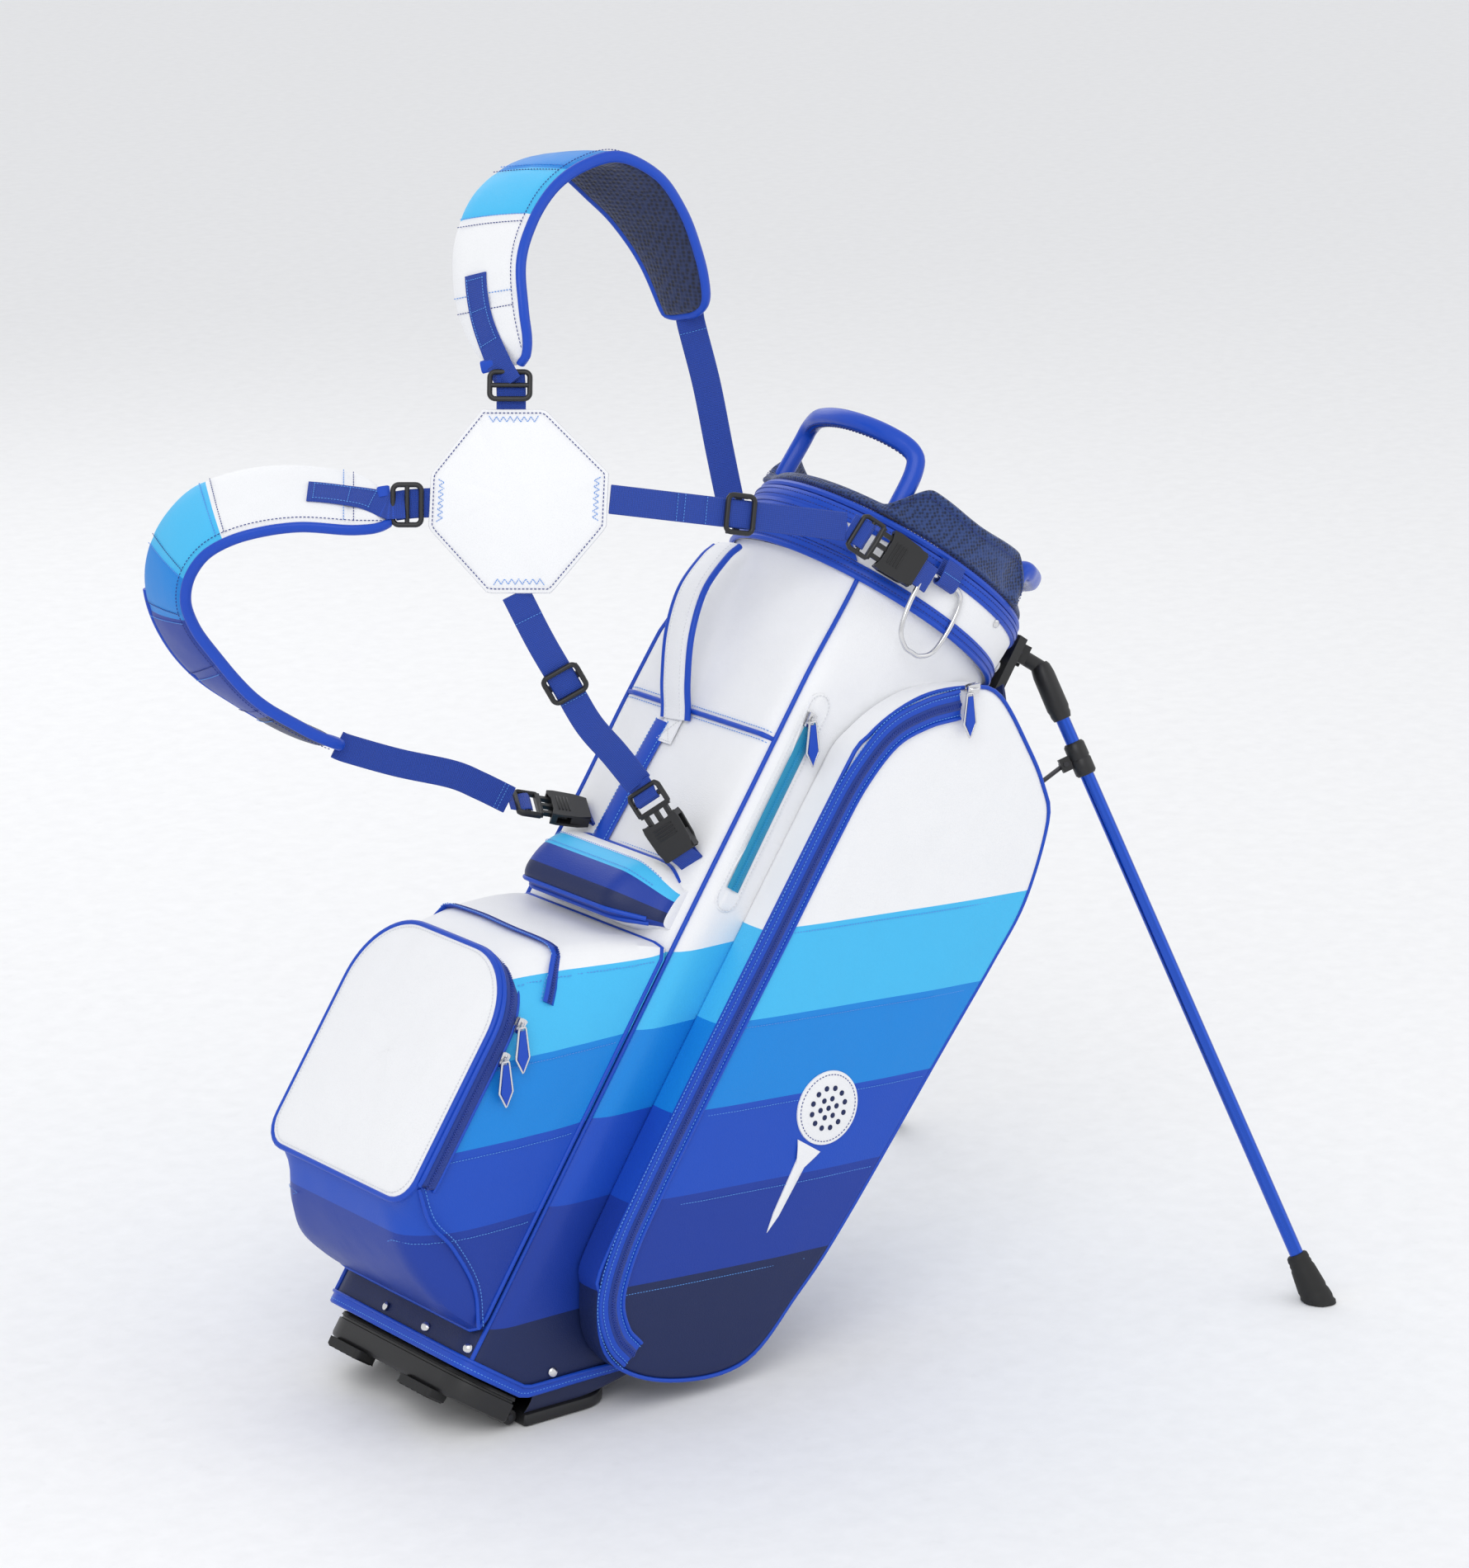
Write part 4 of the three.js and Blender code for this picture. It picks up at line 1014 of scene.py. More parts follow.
# ---------------------------------------------------------------- collar
def at_angle(theta, r, z):
    return Vector((r * cos(theta), r * sin(theta), z))


def full_ring(section, count=144):
    """A ring with a section of (radius, height) points."""
    return grid([[at_angle(2 * pi * i / count, r, z) for r, z in section] for i in range(count)],
                close_u=True, close_v=True)


collar = Pile(white, trim, thread_blue, nickel, thread_white, steel)
collar.add(full_ring([(124.5, 1), (130, 0.8), (131.2, 14), (132.0, 30), (132.6, 49), (131, 50.2), (125, 50.2),
                      (124.2, 26)]))
for z, r, width in ((5.2, 131.4, 11), (44.8, 133.0, 12)):
    half = width / 2
    collar.add(full_ring([(r - 1.4, z - half), (r + 0.5, z - half), (r + 1.4, z - half + 1.5),
                          (r + 1.5, z + half - 1.5),
                          (r + 0.5, z + half), (r - 1.4, z + half)]), 1)
    for offset in (-2.6, 2.6):
        add_stitches(collar, [at_angle(2 * pi * i / 260, r + 1.5, z + offset) for i in range(260)],
                     [at_angle(2 * pi * i / 260, 1, 0) for i in range(260)], 2, 3.4, 2.3, 0.4, closed=True)
collar.add(tube([at_angle(2 * pi * i / 120, 131.5, -1.0) for i in range(120)], 2.6, closed=True), 1)
# A leather patch at the back of the collar, slanted at its ends.
rows = []
for i in range(41):
    share = i / 40
    rows.append([at_angle(pi + (share - 0.5) * 2 * (0.70 - 0.20 * (z - 11) / 28), 131.2 + 0.035 * z + lift, z)
                 for z, lift in ((11, 0.2), (11, 1.5), (25, 1.7), (39, 1.5), (39, 0.2))])
collar.add(grid(rows, close_u=True), 1)
for z in (15, 35):
    spread = 0.66 - 0.20 * (z - 11) / 28
    add_stitches(collar, [at_angle(pi + (k / 60 - 0.5) * 2 * spread, 133.2 + 0.03 * z, z) for k in range(61)],
                 [at_angle(pi + (k / 60 - 0.5) * 2 * spread, 1, 0) for k in range(61)], 2)
for theta, z, r in ((-2.18, 33, 4.6), (-1.28, 36, 4.2), (2.18, 33, 4.6), (1.28, 36, 4.2), (-0.66, 18, 5.4),
                    (0.66, 18, 5.4)):
    rivet(collar, at_angle(theta, 132.4, z), at_angle(theta, 1, 0), r)
collar.make("collar_skin", "bag", COLLAR, "white_leather", ["collar_band"])

rim = Pile(trim, thread_blue)
rim.add(full_ring([(114.5, 51), (128, 51), (132.2, 52.5), (133, 55), (131.6, 57.6), (127, 59), (116, 59),
                   (114.5, 57)]))
add_stitches(rim, [at_angle(2 * pi * i / 260, 130.4, 58.2) for i in range(260)], (0, 0, 1), 1, closed=True)
rim.make("collar_rim_skin", "bag", COLLAR, "blue_leather", ["collar_rim"])

# Knitted cuff: low all round, risen at both sides, and wrapped as a sleeve round each handle's post.
POSTS = [radians(d) for d in (69, 138, 222, 291)]
cuff = Pile(mesh_navy, navy, thread_blue)
rows = []
COUNT = 240
for i in range(COUNT):
    theta = 2 * pi * i / COUNT
    away_back = abs(math.atan2(sin(theta), cos(theta)))
    raised = smoothstep(1.08, 1.38, away_back) * (1 - smoothstep(2.22, 2.50, away_back))
    top = 69 + 33 * raised - 5 * math.exp(-((away_back - 1.8) / 0.28) ** 2) * raised
    wide = 4.2 + 7.0 * max(math.exp(-((theta - p) / 0.085) ** 2) for p in POSTS)
    fold = 0.9 * noise.noise(Vector((cos(theta) * 4, sin(theta) * 4, 1.7)))
    rows.append([at_angle(theta, 121.5 + dr, z) for dr, z in (
        (-wide, 60), (wide + 2.5, 60), (wide + 3.2 + fold, 63.5), (wide + 1.2 + fold, 67),
        (wide + fold, (top + 66) / 2), (wide - 0.2, top - 6), (wide + 0.9, top - 5), (wide + 0.8, top - 1),
        (wide * 0.5, top + 0.8), (-wide * 0.5, top + 0.8), (-wide - 0.8, top - 1), (-wide - 0.9, top - 5),
        (-wide + 0.2, top - 6), (-wide - fold, (top + 66) / 2), (-wide - 0.5, 66))])
cuff.add(grid(rows, close_u=True, close_v=True))
cuff_obj = cuff.make("cuff_knit", "bag", COLLAR, "navy_fabric", ["mesh_cuff"], divide=1)
hems = Pile(navy, thread_blue)
top_line = [row[7] for row in rows]
add_stitches(hems, [p + Vector((0, 0, -7)) + Vector((p.x, p.y, 0)).normalized() * 0.6 for p in top_line],
             [Vector((p.x, p.y, 0)).normalized() for p in top_line], 1, 3.2, 2.2, 0.4, closed=True)
hems.make("cuff_stitching", "bag", COLLAR, "navy_fabric")


def rim_handle(middle, spread, post, top, radius=121):
    shares = (-1, -0.97, -0.85, -0.5, 0, 0.5, 0.85, 0.97, 1)
    heights = (64, post, top - 6, top - 1, top, top - 1, top - 6, post, 64)
    return [at_angle(middle + a * spread, radius, z) for a, z in zip(shares, heights)]


for name, node_name, middle, spread, post, top in (
        ("rear_handle_grip", "rear_handle", pi, 0.74, 108, 130),
    ("front_handle_grip", "front_handle", 0, 1.2, 92, 104)):
    bar = Pile(gloss_trim, thread_blue)
    line = evenly(curve_points(rim_handle(middle, spread, post, top), 160), 3.0)
    outs = [Vector((p.x, p.y, 0)).normalized() for p in line]
    front = node_name == "front_handle"
    section = [(8.3 * math.copysign(abs(cos(a)) ** 0.8, cos(a)), (7.6 if front else 8.0) * math.copysign(
        abs(sin(a)) ** 0.8, sin(a))) for a in (2 * pi * k / 24 for k in range(24))]

    def ribs(t, front=front):
        inside_grip = smoothstep(0.30, 0.36, t) * (1 - smoothstep(0.64, 0.70, t))
        return 1 - (0.07 * inside_grip * (0.5 + 0.5 * cos(t * 150)) ** 6 if front else 0)

    bar.add(sweep(line, outs, section, scale=ribs))
    if not front:
        for offset in (-2.0, 2.0):
            add_stitches(bar, [p + Vector((0, 0, -8.0)) + o * offset
                               for p, o in zip(line[12:-12], outs[12:-12])],
                         (0, 0, -1), 1, 4.2, 3.2, 0.6)
    bar.make(name, "bag", COLLAR, "blue_leather", [node_name])

# Padded divider tops across the mouth, on six club wells.
divider = Pile(lining, navy)
for x0, x1, y0, y1 in ((-121, 121, -3.4, 3.4), (-45.4, -38.6, -113, 113), (38.6, 45.4, -113, 113)):
    divider.add(block(x0, x1, y0, y1, 13, 40))
    ends = [Vector((x0, (y0 + y1) / 2, 42)), Vector((x1, (y0 + y1) / 2, 42))] if x1 - x0 > 20 else \
        [Vector(((x0 + x1) / 2, y0, 42)), Vector(((x0 + x1) / 2, y1, 42))]
    divider.add(rod(ends[0], ends[1], 5.2), 1)
divider.make("divider_padding", "bag", COLLAR, "navy_fabric", ["club_divider"])

# Gusset flap at the front of the collar, over the bracket's foot.
flap = Pile(navy, trim)
for sign in (-1, 1):
    edge = [Vector((106 + 5 * sin(k / 10 * pi), sign * (58 + 5.2 * k), 742 + 3 * k)) for k in range(11)]
    flap.add(sweep(edge, (1, 0, 0.2), flat_section(34, 2.0, 1.0)), 0)
flap.make("collar_gussets", "bag", BAG, "navy_fabric")

# ---------------------------------------------------------------- harness
ARM_START, ARM_END = Vector((80, 2, 0)), Vector((281.5, 104, -18.5))


def pad_surface(front, back, outside):
    """Points on a shoulder pad, from its two edges."""
    steps = 110
    fronts, backs = (curve_points([Vector(p) for p in edge], steps) for edge in (front, back))
    middles = [(f + b) / 2 for f, b in zip(fronts, backs)]
    directions = tangents(middles)

    def at(i, share, lift):
        across = fronts[i] - backs[i]
        out = across.cross(directions[i]).normalized() * outside
        return backs[i] + across * share + out * lift

    return at, steps


def shoulder_pad(name, node_name, front, back, outside, panels, shrink):
    """A padded strap of sewn panels with a bound edge and a knitted inner face."""
    at, steps = pad_surface(front, back, outside)
    pile = Pile(white, cyan, azure, royal, navy, pad_mesh)
    profile = [(0.0, 0), (0.015, 3.2), (0.07, 5.2), (0.2, 6.3), (0.35, 6.9), (0.5, 7.1), (0.65, 6.9),
               (0.8, 6.3),
               (0.93, 5.2), (0.985, 3.2), (1.0, 0), (0.985, -3.2), (0.93, -5.2), (0.8, -5.9), (0.65, -6.2),
               (0.5, -6.3),
               (0.35, -6.2), (0.2, -5.9), (0.07, -5.2), (0.015, -3.2)]
    rows, slots = [], []
    for i in range(steps):
        t = i / (steps - 1)
        near_end = min(t, 1 - t) / 0.055
        narrow = 1 - shrink * (1 - math.sqrt(max(0.0, 1 - max(0.0, 1 - near_end) ** 2)))
        thin = 0.35 + 0.65 * smoothstep(0, 0.9, near_end)
        seam = min([abs(t - stop) for stop, kind in panels[:-1]] + [1.0])
        pinch = 1 - 0.22 * math.exp(-(seam / 0.008) ** 2)
        rows.append([at(i, 0.5 + (share - 0.5) * narrow,
                        lift * thin * (pinch if lift > 0 else 1)
                        + noise.noise(Vector((t * 14, share * 3, 5.0))) * 0.5)
                     for share, lift in profile])
        if i < steps - 1:
            kind = next(kind for stop, kind in panels if t < stop)
            slots += [kind if k < 10 else 5 for k in range(len(profile))]
    pile.add(grid(rows, close_u=True), slots + [0, 3])
    made = pile.make(name, "bag", HARNESS, "white_leather", [node_name])
    edges = [k for k in range(len(made.data.vertices)) if k % len(profile) in (0, 1, 9, 10, 11, 19)]
    inflate(made, edges + [k for k in range(len(profile))], 3.0, 0.003)
    bound = Pile(trim, thread_blue, thread_light)
    front_edge = [row[10] for row in rows]
    back_edge = [row[0] for row in rows]
    half = int(steps * 0.56)
    end_line = [Vector(rows[-1][10]).lerp(Vector(rows[-1][0]), k / 8) for k in range(1, 8)]
    line = evenly(front_edge + end_line + back_edge[:half:-1], 3.0)
    outs = []
    for p in line:
        spot = min(range(steps), key=lambda k: min((rows[k][10] - p).length, (rows[k][0] - p).length,
                                                   (rows[k][5] - p).length))
        outs.append((at(spot, 0.5, 10) - at(spot, 0.5, 0)).normalized())
    bound.add(sweep(line, outs,
                    [(3.6 * cos(2 * pi * k / 14), 5.2 * sin(2 * pi * k / 14)) for k in range(14)]))
    facing = [(at(i, 0.5, 10) - at(i, 0.5, 0)).normalized() for i in range(3, steps - 3)]
    add_stitches(bound, [at(i, 0.925, 6.4) for i in range(3, steps - 3)], facing, 1)
    for stop, kind in panels[:-1]:
        for offset in (-0.011, 0.011):
            i = max(1, min(steps - 2, round((stop + offset) * (steps - 1))))
            out = (at(i, 0.5, 10) - at(i, 0.5, 0)).normalized()
            add_stitches(bound, [at(i, 0.05 + 0.85 * k / 12, 5.9 + 1.4 * sin(pi * k / 12))
                                 for k in range(13)], out,
                         2 if offset > 0 else 1, 3.2, 2.2, 0.4)
    bound.make(f"{name}_binding", "bag", HARNESS, "blue_leather")
    return at


upper_at = shoulder_pad(
    "upper_pad", "shoulder_pad_upper",
    [(14, -3, 117), (7, -12, 160), (5, -8, 200), (13, 5, 233), (30, 20, 264), (56, 40, 287), (87, 62, 297),
     (119, 82, 283), (140, 98, 254), (154, 112, 217), (160, 124, 186), (156, 134, 169)],
    [(-26, 20, 108), (-48, 36, 154), (-55, 42, 196), (-52, 55, 231), (-37, 70, 266), (-10, 88, 290),
     (24, 108, 297),
     (60, 125, 269), (84, 138, 245), (105, 148, 214), (121, 156, 178), (126, 160, 168)], 1,
    [(0.115, 0), (0.285, 0), (0.42, 1), (0.56, 2), (2.0, 3)], 0.5)
lower_at = shoulder_pad(
    "lower_pad", "shoulder_pad_lower",
    [(-104, 0, -24), (-136, -14, -27), (-183, -18, -25), (-224, -16, -31), (-256, -12, -44), (-275, -2, -64),
     (-281, 12, -87), (-275, 28, -109), (-258, 46, -134), (-228, 66, -169), (-188, 90, -195),
     (-155, 112, -210)],
    [(-110, 12, 8), (-140, 34, 22), (-189, 36, 29), (-238, 44, 25), (-282, 50, 8), (-310, 58, -25),
     (-321, 72, -63),
     (-313, 90, -103), (-289, 110, -140), (-254, 130, -167), (-206, 146, -194), (-166, 140, -205)], -1,
    [(0.10, 0), (0.33, 0), (0.47, 1), (0.60, 2), (0.745, 3), (0.85, 3), (2.0, 4)], 0.5)

OCTAGON = [(-28, 76), (25, 76), (79, 22), (77, -24), (30, -80), (-24, -80), (-74, -25), (-72, 21)]
octagon = [(p.x, p.z) for p in evenly([Vector((x, 0, z)) for x, z in OCTAGON], 5.0, closed=True)]
plate = Pile(white, thread_blue, thread_light, trim)
rows = [[Vector((x * f, y, z * f)) for x, z in octagon] for f, y in (
    (0.02, 5.4), (0.5, 5.4), (0.93, 5.2), (0.985, 3.0), (1.0, 0.0), (0.992, -2.6), (0.972, -3.4),
    (0.945, -3.6),
    (0.92, -4.8), (0.85, -5.9), (0.75, -6.5), (0.62, -6.8), (0.48, -7.0), (0.34, -7.1), (0.2, -7.1),
    (0.02, -7.2))]
plate.add(grid(rows, close_u=True))
plate_obj = plate.make("centre_pad_skin", "bag", HARNESS, "white_leather", ["centre_pad"])
inflate(plate_obj, [k for k in range(8 * len(octagon))], 3.0, 0.003)
plate_seams = Pile(thread_blue, thread_light)
add_stitches(plate_seams, [Vector((x * 0.955, -4.3, z * 0.955)) for x, z in octagon], (0, -1, 0), 0,
             closed=True)
for a, b in (((-22, 70), (19, 70)), ((72, 18), (70, -18)), ((24, -73), (-18, -73)), ((-67, -19), (-65, 16))):
    a, b = Vector((a[0], -5.2, a[1])), Vector((b[0], -5.2, b[1]))
    inward = Vector((-a.x - b.x, 0, -a.z - b.z)).normalized()
    line = [a.lerp(b, k / 14) + inward * (5 if k % 2 else 0.5) for k in range(15)]
    add_stitches(plate_seams, line, (0, -1, 0), 1, 1.9, 1.6, 0.34)
plate_seams.make("centre_pad_stitching", "bag", HARNESS, "white_leather")


def webbing_strap(name, node_name, points, facing=(0, -1, 0), stitched=()):
    pile = Pile(strap_blue, thread_light, thread_white)
    line = evenly(curve_points([Vector(p) for p in points], 60), 3.5)
    pile.add(sweep(line, Vector(facing), flat_section(25, 2.1, 0.2)))
    directions = tangents(line)
    out = Vector(facing)
    for share in stitched:
        i = min(len(line) - 2, max(1, round(share * (len(line) - 1))))
        across = directions[i].cross(out).normalized()
        up = across.cross(directions[i])
        add_stitches(pile, [line[i] + across * (-11 + 22 * k / 6) + up * 1.6 for k in range(7)], up, 1, 2.6,
                     1.8, 0.34)
    pile.make(name, "bag", HARNESS, "blue_webbing", [node_name] if node_name else ())


webbing_strap("upper_arm_strap", "upper_arm_webbing", [(-4, 2, 74), (-4, 2, 92), (-5, 4, 106)])
webbing_strap("lower_arm_strap", "lower_arm_webbing", [(-70, 2, -3), (-88, 2, -4), (-103, 3, -6)])
webbing_strap("collar_arm_strap", "collar_arm_webbing",
              [ARM_START.lerp(ARM_END, k / 4) for k in range(5)], stitched=(0.28, 0.30, 0.4))
webbing_strap("back_arm_strap", "back_arm_webbing",
              [(0, 2, -80), (20, 19, -120), (40, 36, -155), (60, 53, -190), (82, 71, -216),
               (102.5, 86.5, -242)],
              stitched=(0.12, 0.5, 0.52))
webbing_strap("upper_pad_strap", "upper_pad_webbing",
              [(145, 151, 172), (147, 154, 160), (160, 168, 110), (171, 184, 55), (180, 200, 12),
               (184, 208, -4)],
              stitched=(0.1,))
webbing_strap("lower_pad_strap", "lower_pad_webbing",
              [(-162, 128, -208), (-152, 132, -212), (-110, 148, -224), (-64, 164, -234), (-40, 172, -244),
               (-14, 181, -257)],
              stitched=(0.93, 0.96))

# Straps sewn on the pads' white ends, with box stitching, a pull tab and a slotted adjuster each.
for name, at, centre in (("upper", upper_at, 0.42), ("lower", lower_at, 0.52)):
    tab = Pile(strap_blue, thread_light, trim)
    line = [at(i, centre, 8.2) for i in range(0, 19)]
    outs = [(at(i, centre, 10) - at(i, centre, 0)).normalized() for i in range(0, 19)]
    start = Vector((-5, -1, 97)) if name == "upper" else Vector((-94, -1, -5))
    line = [start.lerp(line[0], k / 3) for k in range(3)] + line
    outs = [outs[0]] * 3 + outs
    tab.add(sweep(line, outs, flat_section(25, 2.0, 0.2)))
    across = [d.cross(o).normalized() for d, o in zip(tangents(line), outs)]
    for offset in (-9, 9):
        add_stitches(tab, [line[k] + across[k] * offset + outs[k] * 1.5 for k in range(8, 21)], outs[8:21], 1,
                     2.6, 1.8, 0.36)
    for k0 in (8, 14, 20):
        add_stitches(tab, [line[k0] + across[k0] * (-9 + 18 * j / 6) + outs[k0] * 1.5 for j in range(7)],
                     outs[k0], 1,
                     2.6, 1.8, 0.36)
    edge = [at(1, 0.06 + 0.26 * j / 4, 7.5) for j in range(5)]
    tab.add(sweep(edge, outs[4], flat_section(11, 3.0, 0.3)), 2)
    tab.make(f"{name}_pad_tab", "bag", HARNESS, "blue_webbing")


def frame_at(place, along, towards):
    x = Vector(along).normalized()
    y = Vector(towards).cross(x).normalized()
    z = x.cross(y)
    basis = Matrix((x, y, z)).transposed().to_4x4()
    return Matrix.Translation(Vector(place)) @ basis


def slotted_frame(length, width, ridge):
    """A strap adjuster's rounded frame, without the middle bar that would part it into two slots."""
    pile = Pile(black)
    corner = 5
    outline = []
    for cx, cy, start in ((length - corner, width - corner, 0), (corner - length, width - corner, 90),
                          (corner - length, corner - width, 180), (length - corner, corner - width, 270)):
        outline += [Vector((cx + corner * cos(radians(start + 15 * k)),
                            cy + corner * sin(radians(start + 15 * k)), ridge))
                    for k in range(7)]
    pile.add(sweep(outline, (0, 0, 1), round_section(2.3, 12), closed=True))
    return pile


def with_bar(pile, width, level):
    pile.add(rod((0, -width, level), (0, width, level), 2.1, 12))
    return pile


for name, place, along in (("upper_pad_adjuster", (-5, 0, 96), (0, 0.25, 1)),
                           ("lower_pad_adjuster", (-92, 0, -5), (-1, 0, 0))):
    with_bar(slotted_frame(12, 17, 1.0), 16, 1.2).make(
        name, "bag", HARNESS @ frame_at(place, along, (0, -1, 0)), "black_plastic")
for name, node_name, body, place, along in (
        ("collar_arm_glide", "triglide_collar_arm", "glide_collar", ARM_START.lerp(ARM_END, 0.54),
         ARM_END - ARM_START),
        ("back_arm_glide", "triglide_back_arm", "glide_back", Vector((40, 36, -155)), Vector((20, 17, -35)))):
    pile = slotted_frame(12.7, 15.9, 3.4)
    for sign in (-1, 1):
        pile.add(rod((-9, sign * 15.6, -3.0), (9, sign * 15.6, -3.0), 2.0, 12))
        pile.add(block(-9, 9, *sorted((sign * 14.2, sign * 17.4)), -3.5, 3.5))
    pile.add(block(-3, 3, -17, 17, -4.2, -1.8))
    pile.make(name, body, HARNESS @ frame_at(place, along, (0, -1, 0)), "black_plastic", [node_name])

# Side-release buckles, each with a strap bar, three prongs and a ribbed sleeve.
BUCKLES = {
    "collar": ((287, 106, -19), (341, 118, -54), (0.25, -0.96, 0)),
    "back": ((103, 87, -243), (143, 85, -306), (-0.66, -0.64, 0.4)),
    "low": ((-12, 182, -258), (52, 204, -268), (-0.78, -0.49, 0.44)),
}
for name, (start, stop, towards) in BUCKLES.items():
    along = Vector(stop) - Vector(start)
    place = HARNESS @ frame_at(Vector(start) + along.normalized() * 35.5, along, towards)
    prong = Pile(black, strap_blue)
    prong.add(sweep([Vector((x, 0, z))
                      for x, z in ((-38, -0.4), (-30, -0.6), (-24, 2.4), (-20.5, 3.0), (-18.2, 1.0),
                                  (-20, -2.0), (-24, -2.6))], (0, 0, 1),
                    flat_section(24.5, 1.4)), 1)
    frame_loop = [Vector((x, y, 0))
                  for x, y in ((-31, -14), (-28, -16), (-11, -16), (-10, 0), (-11, 16), (-28, 16), (-31, 14))]
    prong.add(sweep(evenly(frame_loop, 2.0, closed=True), (0, 0, 1), [(2.2 * cos(a), 3.1 * sin(a)) for a in
              (2 * pi * k / 12 for k in range(12))], closed=True))
    prong.add(rod((-21, -15, 0.4), (-21, 15, 0.4), 1.9, 12))
    prong.add(block(-13, -8.4, -15.5, 15.5, -2.6, 2.6))
    for y in (-11, 0, 11):
        prong.add(block(-9, 14.5, y - 2, y + 2, -2.1, 2.1))
    prong.make(f"buckle_prongs_{name}", "bag", place, "black_plastic", [f"buckle_pronged_{name}"],
               bevel=0.0006)
    case = Pile(black, strap_blue, thread_light)
    reach = {"collar": 50, "back": 46, "low": 44}[name]
    case.add(sweep([Vector((x, 0, z))
                    for x, z in ((27, 2.9), (32.5, 3.4), (37, 0.5), (reach - 5, -2.5), (reach, -4.5))],
                   (0, 0, 1), flat_section(24.5, 1.5)), 1)
    case.add(sweep([Vector((x, 0, z))
                    for x, z in ((27, -2.9), (32.5, -3.3), (37, -3.4), (reach - 5, -4.4), (reach, -6))],
                   (0, 0, 1), flat_section(24.5, 1.5)), 1)
    for z in (-4.7, 4.7):
        outline = [(-2, -18), (4, -19), (24, -18), (35, -15), (35, 15), (24, 18), (4, 19), (-2, 18), (0.5, 9),
                   (0.5, -9)]
        case.add(slab(outline, z - 1.1, z + 1.1, lambda x, y, level: Vector((x, y, level))))
    for y in (-1, 1):
        case.add(block(17, 34, *sorted((y * 13.5, y * 17)), -4.6, 4.6))
        case.add(block(-1.5, 4, *sorted((y * 15.6, y * 18.6)), -4.6, 4.6))
    case.add(block(17.5, 24, -13, 13, -4.4, 4.4))
    case.add(rod((32.5, -14, 0), (32.5, 14, 0), 2.6, 14))
    for k in range(4):
        case.add(rod((6 + 3.2 * k, -10, 6.0), (6 + 3.2 * k, 10, 6.0), 0.8, 8))
    case.make(f"buckle_case_{name}", "bag", place, "black_plastic", [f"buckle_sleeve_{name}"], bevel=0.0008)

# ---------------------------------------------------------------- towel ring, zip sliders and pulls
loop = [(-40, 826), (-58, 826), (-66, 817), (-67, 792), (-62, 769), (-50, 759), (-40, 758), (-30, 759),
        (-18, 769),
        (-13, 792), (-14, 817), (-22, 826)]
ring = Pile(nickel)
line = curve_points([Vector((x, -134, s)) for x, s in loop], 160, closed=True)
ring.add(sweep(line, (0, -1, 0), round_section(2.25, 16), closed=True))
ring.make("towel_ring_wire", "ring", BAG, "bright_metal", ["towel_ring"])
tab = Pile(trim, thread_light, strap_blue)
wrap = [Vector((0, y, s))
        for y, s in ((-137.6, 845), (-138.0, 836), (-138.2, 827), (-136.8, 822.6), (-134, 821.2),
                                       (-131.2, 822.6), (-130, 827), (-130, 836), (-130.2, 845))]
line = evenly(curve_points([p + Vector((-40, 0, 0)) for p in wrap], 40), 1.5)
tab.add(sweep(line, [Vector((0, p.y + 134, min(0.0, p.z - 827))) + Vector((0, 0.01, 0)) for p in line],
              flat_section(23, 1.6)), 2)
add_stitches(tab, [Vector((-50 + 20 * k / 6, -139.0, 833)) for k in range(7)], (0, -1, 0), 1, 2.6, 1.8, 0.36)
tab.make("ring_loop", "bag", BAG, "blue_webbing", ["ring_tab"])

TAG = [(-4, 2), (4, 2), (8, -26), (0, -40), (-8, -26)]
for name, body, place, sign in (
        ("side_zip_pull_near", "side_pull_near", (22, -158.5, 750), -1),
        ("side_zip_pull_far", "side_pull_far", (22, 158.5, 750), 1),
        ("slim_zip_pull", "slim_pull", (-96, -122.5, 660), -1),
        ("ball_zip_pull_upper", "ball_pull_upper", (-232, -117.5, 308), -1),
        ("ball_zip_pull_lower", "ball_pull_lower", (-232, -117.5, 276), -1)):
    pull = Pile(nickel, trim)
    outline = evenly([Vector((x * 0.86, 0, z * 0.96 - 0.5)) for x, z in TAG], 1.6, closed=True)
    pull.add(sweep(outline, (0, sign, 0), round_section(1.05, 10), closed=True))
    leaf = [(x * 0.66, z * 0.86 - 3) for x, z in TAG]
    pull.add(slab(leaf, -0.9, 0.9, lambda x, z, level: Vector((x, level, z))), 1)
    pull.make(f"{name}_tag", body, BAG @ shift(*place) @ turn(-LEAN_DEGREES, "Y"), "bright_metal", [name])
for name, body, place in (("slim_zip_slider", "slim_slider", (-96, -116, 662)),
                          ("ball_zip_slider_upper", "ball_slider_upper", (-232, -111, 310)),
                          ("ball_zip_slider_lower", "ball_slider_lower", (-232, -111, 278)),
                          ("side_zip_slider_near", "bag", (24, -154.4, 757)),
                          ("side_zip_slider_far", "bag", (24, 154.4, 757))):
    car = Pile(nickel)
    shape = [(-4.6, 6), (-2, 7), (2, 7), (4.6, 6), (3.4, -4), (2.6, -6.8), (-2.6, -6.8), (-3.4, -4)]
    for y in (-2.2, 2.2):
        car.add(slab(shape, y - 0.7, y + 0.7, lambda x, z, level: Vector((x, level, z))))
    car.add(block(-0.8, 0.8, -2, 2, -6, 6))
    car.add(tube([Vector((0, -2.4, 4.5)), Vector((0, -4.6, 3)), Vector((0, -5.0, 0)), Vector((0, -4.6, -3)),
                  Vector((0, -2.4, -4.5))], 0.9, 8))
    facing_out = turn(180, "Z") if place[1] > 0 else Matrix.Identity(4)
    on_track = turn(62, "Y") if "side" in name else Matrix.Identity(4)
    car.make(f"{name}_body", body, BAG @ shift(*place) @ facing_out @ on_track, "bright_metal",
             [name] if body != "bag" else [])
